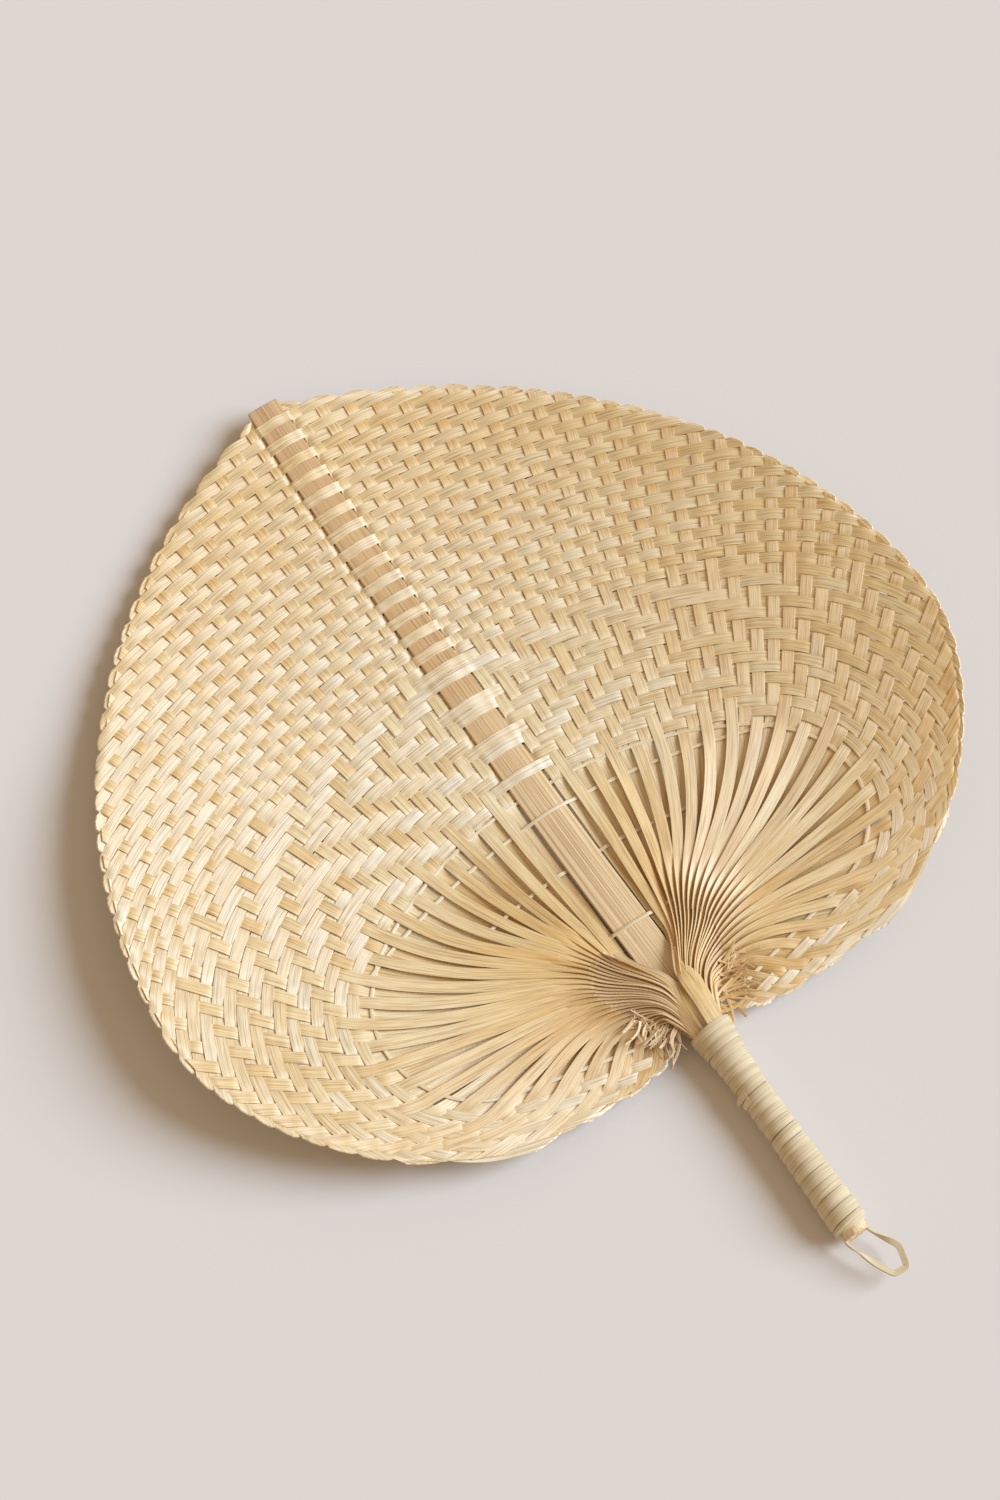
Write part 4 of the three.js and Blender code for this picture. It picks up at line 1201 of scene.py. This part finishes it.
class FAN_OT_straps(bpy.types.Operator):
    """Fold the two broad strips over the rib's foot and tuck them under the wrap"""

    bl_idname = "fan.straps"
    bl_label = "Throat straps"

    # Places along each strap: x, y, height over the blade, half width, roll in degrees
    LEFT = (
        (-0.0142, 0.0412, 0.0016, 0.0012, 75),
        (-0.0107, 0.0350, 0.0028, 0.0012, 70),
        (-0.0065, 0.0270, 0.0042, 0.0013, 62),
        (-0.0036, 0.0215, 0.0048, 0.0015, 45),
        (-0.0017, 0.0168, 0.0048, 0.0022, 15),
        (-0.0030, 0.0115, 0.0053, 0.0035, -12),
        (-0.0036, 0.0042, 0.0057, 0.0039, -22),
        (-0.0034, -0.0050, 0.0054, 0.0035, -26),
    )
    RIGHT = (
        (0.0062, 0.0290, 0.0036, 0.0010, -70),
        (0.0046, 0.0250, 0.0044, 0.0012, -50),
        (0.0038, 0.0216, 0.0052, 0.0019, -15),
        (0.0037, 0.0160, 0.0060, 0.0038, 12),
        (0.0031, 0.0086, 0.0068, 0.0037, 15),
        (0.0021, 0.0003, 0.0073, 0.0034, 16),
        (0.0021, -0.0060, 0.0068, 0.0034, 16),
    )
    STEPS = 60
    CROWN = 0.0007

    def execute(self, context):
        sizes = context.scene.fan_sizes
        straps = {"left": self.LEFT, "right": self.RIGHT}
        for number, (label, stations) in enumerate(straps.items(), STRAP_NUMBER):
            share = np.linspace(0, len(stations) - 1, self.STEPS)
            x, y, height, width, roll = self.eased(np.array(stations), share)
            plan = np.column_stack([x, y])
            grid = strip_grid(plan, across_plan(plan), height, width, np.radians(roll), self.CROWN)
            strap = add_strip(f"strap_{label}", to_part(grid), number, sizes.strip)
            finish_piece(strap, "strap", [f"throat_strap_{label}"])
        return {"FINISHED"}

    def eased(self, stations, share):
        """Stations joined by a smooth curve through each."""
        slopes = np.gradient(stations, axis=0)
        at = np.clip(share.astype(int), 0, len(stations) - 2)
        t = (share - at)[:, None]
        a, b = stations[at], stations[at + 1]
        m, n = slopes[at], slopes[at + 1]
        curve = (
            (2 * t**3 - 3 * t**2 + 1) * a
            + (t**3 - 2 * t**2 + t) * m
            + (3 * t**2 - 2 * t**3) * b
            + (t**3 - t**2) * n
        )
        return curve.T


class FAN_OT_wrap(bpy.types.Operator):
    """Wind the strip round the handle"""

    bl_idname = "fan.wrap"
    bl_label = "Grip wrap"

    SEED = 5
    TURNS = 21
    STEPS = 40  # in a turn
    CLOSING = 1.2  # the turns lie closer at the top of the handle
    COVER, COVER_LESS = 0.49, 0.034  # half width in pitches at the top, and its loss down to the butt
    LEAST_HALF = 0.36  # least half width, as a share of the strip's width
    SHIFT = 0.00022  # spread of the turns along the handle
    DRIFT = (0.00005, 0.3)  # wander of the radius: size, and spacing in turns
    CROWN = 0.00030
    LAP = 0.00009  # each turn's lower edge lies under the next turn
    THICKNESS = 0.0003
    END_FOLD = 0.0042  # the last turn folds in over the butt
    END_BACK = 0.3
    REST = 0.0003  # the strip keeps this far off the table
    # Share of the handle's length, and radius
    PROFILE = (
        (0.00, 0.0083),
        (0.07, 0.0074),
        (0.16, 0.0063),
        (0.30, 0.0056),
        (0.48, 0.0056),
        (0.70, 0.0060),
        (0.90, 0.0064),
        (1.00, 0.0062),
    )
    # Torn ends that stand out of the wrap: length down the handle, angle round it, run, rise
    TORN = (
        (0.0265, 158, 0.0052, 0.0016),
        (0.0290, 150, 0.0034, 0.0011),
    )
    TORN_STEPS = 7
    TORN_WIDTH = 0.0013
    TORN_TAPER = 0.5
    TORN_SLIDE = 0.0012  # how far a torn end slips down the handle
    TORN_GAP = 0.0001
    TORN_THICKNESS = 0.00025

    def execute(self, context):
        sizes = context.scene.fan_sizes
        rng = np.random.default_rng(self.SEED)
        turn = np.linspace(0, self.TURNS, self.TURNS * self.STEPS + 1)
        share = (turn / self.TURNS) ** self.CLOSING
        half = np.gradient(share, turn) * GRIP_LENGTH * (self.COVER - self.COVER_LESS * share)
        half = np.maximum(half, sizes.wrap * self.LEAST_HALF)
        whole = np.arange(self.TURNS + 1)
        shift = np.interp(turn, whole, rng.normal(0, self.SHIFT, len(whole)))
        room = GRIP_LENGTH - half[0] - half[-1]
        middle = half[0] + room * share + shift * np.sin(np.pi * turn / self.TURNS)
        radius = self.radius_at(middle) + wander(rng, turn, *self.DRIFT)
        outer = smooth((COLUMNS - COLUMNS[1]) / (COLUMNS[-1] - COLUMNS[1]))
        fold = smooth(turn - self.TURNS + 1)[:, None] * outer * self.END_FOLD
        along = middle[:, None] + COLUMNS * half[:, None] - fold * self.END_BACK
        around = radius[:, None] - COLUMNS * self.LAP - self.CROWN * COLUMNS**4 - fold
        grid = self.wound(along, around, 2 * np.pi * (turn - 0.25))
        strips = [add_strip("wrap_strip", grid, WRAP_NUMBER, self.THICKNESS)]
        for torn in self.TORN:
            grid = self.torn_end(*torn)
            strips.append(add_strip("torn_end", grid, WRAP_NUMBER + 1, self.TORN_THICKNESS))
        wrap = join_strips(strips, "wrap_strip")
        finish_piece(wrap, "wrap", ["grip_wrap"])
        return {"FINISHED"}

    def radius_at(self, down):
        """Radius of the wrap at a length down the handle."""
        share, radius = np.array(self.PROFILE).T
        return np.interp(down / GRIP_LENGTH, share, radius)

    def wound(self, down, around, angle):
        """Places on the wrap, from lengths down the handle, radii and angles."""
        x = around * np.cos(angle)[:, None]
        z = np.maximum(around * np.sin(angle)[:, None] + GRIP_AXIS_Z, self.REST)
        return np.stack([x, THROAT_Y - down, z], -1)

    def torn_end(self, down, angle, run, rise):
        """A short torn end that lifts off the wrap."""
        steps = np.linspace(0, 1, self.TORN_STEPS)
        radius = float(self.radius_at(down))
        angles = math.radians(angle) + run / radius * (steps - 0.5)
        width = self.TORN_WIDTH * (1 - self.TORN_TAPER * steps**2)
        downs = down + self.TORN_SLIDE * steps[:, None] + COLUMNS * width[:, None]
        around = radius + self.TORN_GAP + rise * steps[:, None] ** 2
        return self.wound(downs, np.broadcast_to(around, downs.shape), angles)


class FAN_OT_loop(bpy.types.Operator):
    """Bend the hang loop out of the butt of the handle"""

    bl_idname = "fan.loop"
    bl_label = "Hang loop"

    # Bends of the loop: across, and down from the hinge line
    BENDS = (
        (-0.0046, -0.004),
        (-0.0046, 0.0),
        (-0.0004, 0.0104),
        (0.0024, 0.0158),
        (0.0074, 0.0162),
        (0.0094, 0.0088),
        (0.0044, 0.0),
        (0.0036, -0.004),
    )
    STEPS = 90
    WIDTH = 0.0022
    THICKNESS = 0.0007
    ROUNDING = 0.0002
    LEAN = math.radians(74)
    SMOOTHING = 6  # rounds that ease the bends
    GIVES_FROM, GIVES_TO = 0.001, -0.004  # two lengths from the hinge line

    def execute(self, context):
        bends = np.array(self.BENDS)
        share = np.linspace(0, len(bends) - 1, self.STEPS)
        route = np.column_stack([np.interp(share, np.arange(len(bends)), c) for c in bends.T])
        for _ in range(self.SMOOTHING):
            route[1:-1] = (route[:-2] + 2 * route[1:-1] + route[2:]) / 4
        x = route[:, 0]
        y = LOOP_HINGE.y - route[:, 1]
        side = across_plan(np.column_stack([x, y]))
        flat = COLUMNS[:, None] * self.WIDTH / 2
        lean = self.LEAN * smooth(np.minimum(share, share[::-1]) - 1)
        z = LOOP_HINGE.z + flat * np.cos(lean)
        out = [side[:, axis] * flat * np.sin(lean) for axis in (0, 1)]
        grid = np.stack([x + out[0], y + out[1], z], -1).transpose(1, 0, 2)
        loop = add_strip("loop_strip", grid, LOOP_NUMBER, self.THICKNESS, self.ROUNDING)
        finish_piece(loop, "wrap", ["hang_loop"], body=None)
        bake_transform(loop)
        return {"FINISHED"}


class FAN_OT_stage(bpy.types.Operator):
    """Set the pale table, the soft light and the camera"""

    bl_idname = "fan.stage"
    bl_label = "Stage"

    def execute(self, context):
        scene = context.scene
        scene.view_settings.view_transform = "Standard"
        self.table()
        self.lights(scene)
        self.camera(scene)
        return {"FINISHED"}

    def table(self):
        """A plain pale table top."""
        bpy.ops.mesh.primitive_plane_add(size=TABLE_SIZE, location=(0, 0, TABLE_Z))
        table = bpy.context.object
        table.name = "table"
        material = bpy.data.materials.new("table_paint")
        material.use_nodes = True
        shader = material.node_tree.nodes["Principled BSDF"]
        paint = {"Base Color": TABLE_COLOUR, "Roughness": 1, "Specular IOR Level": 0}
        feed(material.node_tree, shader.inputs, paint)
        table.data.materials.append(material)

    def lights(self, scene):
        """A soft key from the right, and an even surround."""
        bpy.ops.object.light_add(type="SUN", location=KEY_FROM)
        key = bpy.context.object
        key.name = "key"
        key.rotation_euler = KEY_FROM.to_track_quat("Z", "Y").to_euler()
        key.data.angle = KEY_ANGLE
        key.data.energy = KEY_STRENGTH
        key.data.color = KEY_COLOUR
        world = bpy.data.worlds.new("surround")
        scene.world = world
        world.use_nodes = True
        light = {"Color": SURROUND_COLOUR, "Strength": SURROUND_STRENGTH}
        feed(world.node_tree, world.node_tree.nodes["Background"].inputs, light)

    def camera(self, scene):
        """The photograph's place and lens."""
        flat = math.cos(CAMERA_ELEVATION)
        ahead = (flat * math.sin(CAMERA_HEADING), flat * math.cos(CAMERA_HEADING))
        look = Vector((*ahead, -math.sin(CAMERA_ELEVATION)))
        bpy.ops.object.camera_add(location=CAMERA_TARGET - look * CAMERA_DISTANCE)
        camera = bpy.context.object
        camera.name = "camera"
        camera.rotation_euler = look.to_track_quat("-Z", "Y").to_euler()
        camera.data.lens = CAMERA_LENS
        camera.data.sensor_width = CAMERA_SENSOR
        scene.camera = camera


class FAN_PT_panel(bpy.types.Panel):
    """The fan's sizes, colours and pieces."""

    bl_idname = "FAN_PT_panel"
    bl_label = "Woven Bamboo Fan"
    bl_space_type = "VIEW_3D"
    bl_region_type = "UI"
    bl_category = "Fan"

    def draw(self, context):
        for group in (context.scene.fan_sizes, context.scene.fan_colours):
            box = self.layout.box()
            for name in group.bl_rna.properties.keys():
                if name not in {"rna_type", "name"}:
                    box.prop(group, name)
        for operator in PIECES:
            self.layout.operator(operator.bl_idname)


PIECES = (
    FAN_OT_stage,
    FAN_OT_rib,
    FAN_OT_splints,
    FAN_OT_warps,
    FAN_OT_gathers,
    FAN_OT_wefts,
    FAN_OT_straps,
    FAN_OT_wrap,
    FAN_OT_loop,
)
CLASSES = (FanSizes, FanColours, *PIECES, FAN_PT_panel)


def register():
    """Adds the fan's classes and settings to Blender."""
    for item in CLASSES:
        bpy.utils.register_class(item)
    bpy.types.Scene.fan_sizes = bpy.props.PointerProperty(type=FanSizes)
    bpy.types.Scene.fan_colours = bpy.props.PointerProperty(type=FanColours)


def unregister():
    """Takes them away again."""
    del bpy.types.Scene.fan_colours
    del bpy.types.Scene.fan_sizes
    for item in reversed(CLASSES):
        bpy.utils.unregister_class(item)


def main():
    """Makes the fan."""
    register()
    for operator in PIECES:
        group, name = operator.bl_idname.split(".")
        getattr(getattr(bpy.ops, group), name)()


if __name__ == "__main__":
    main()
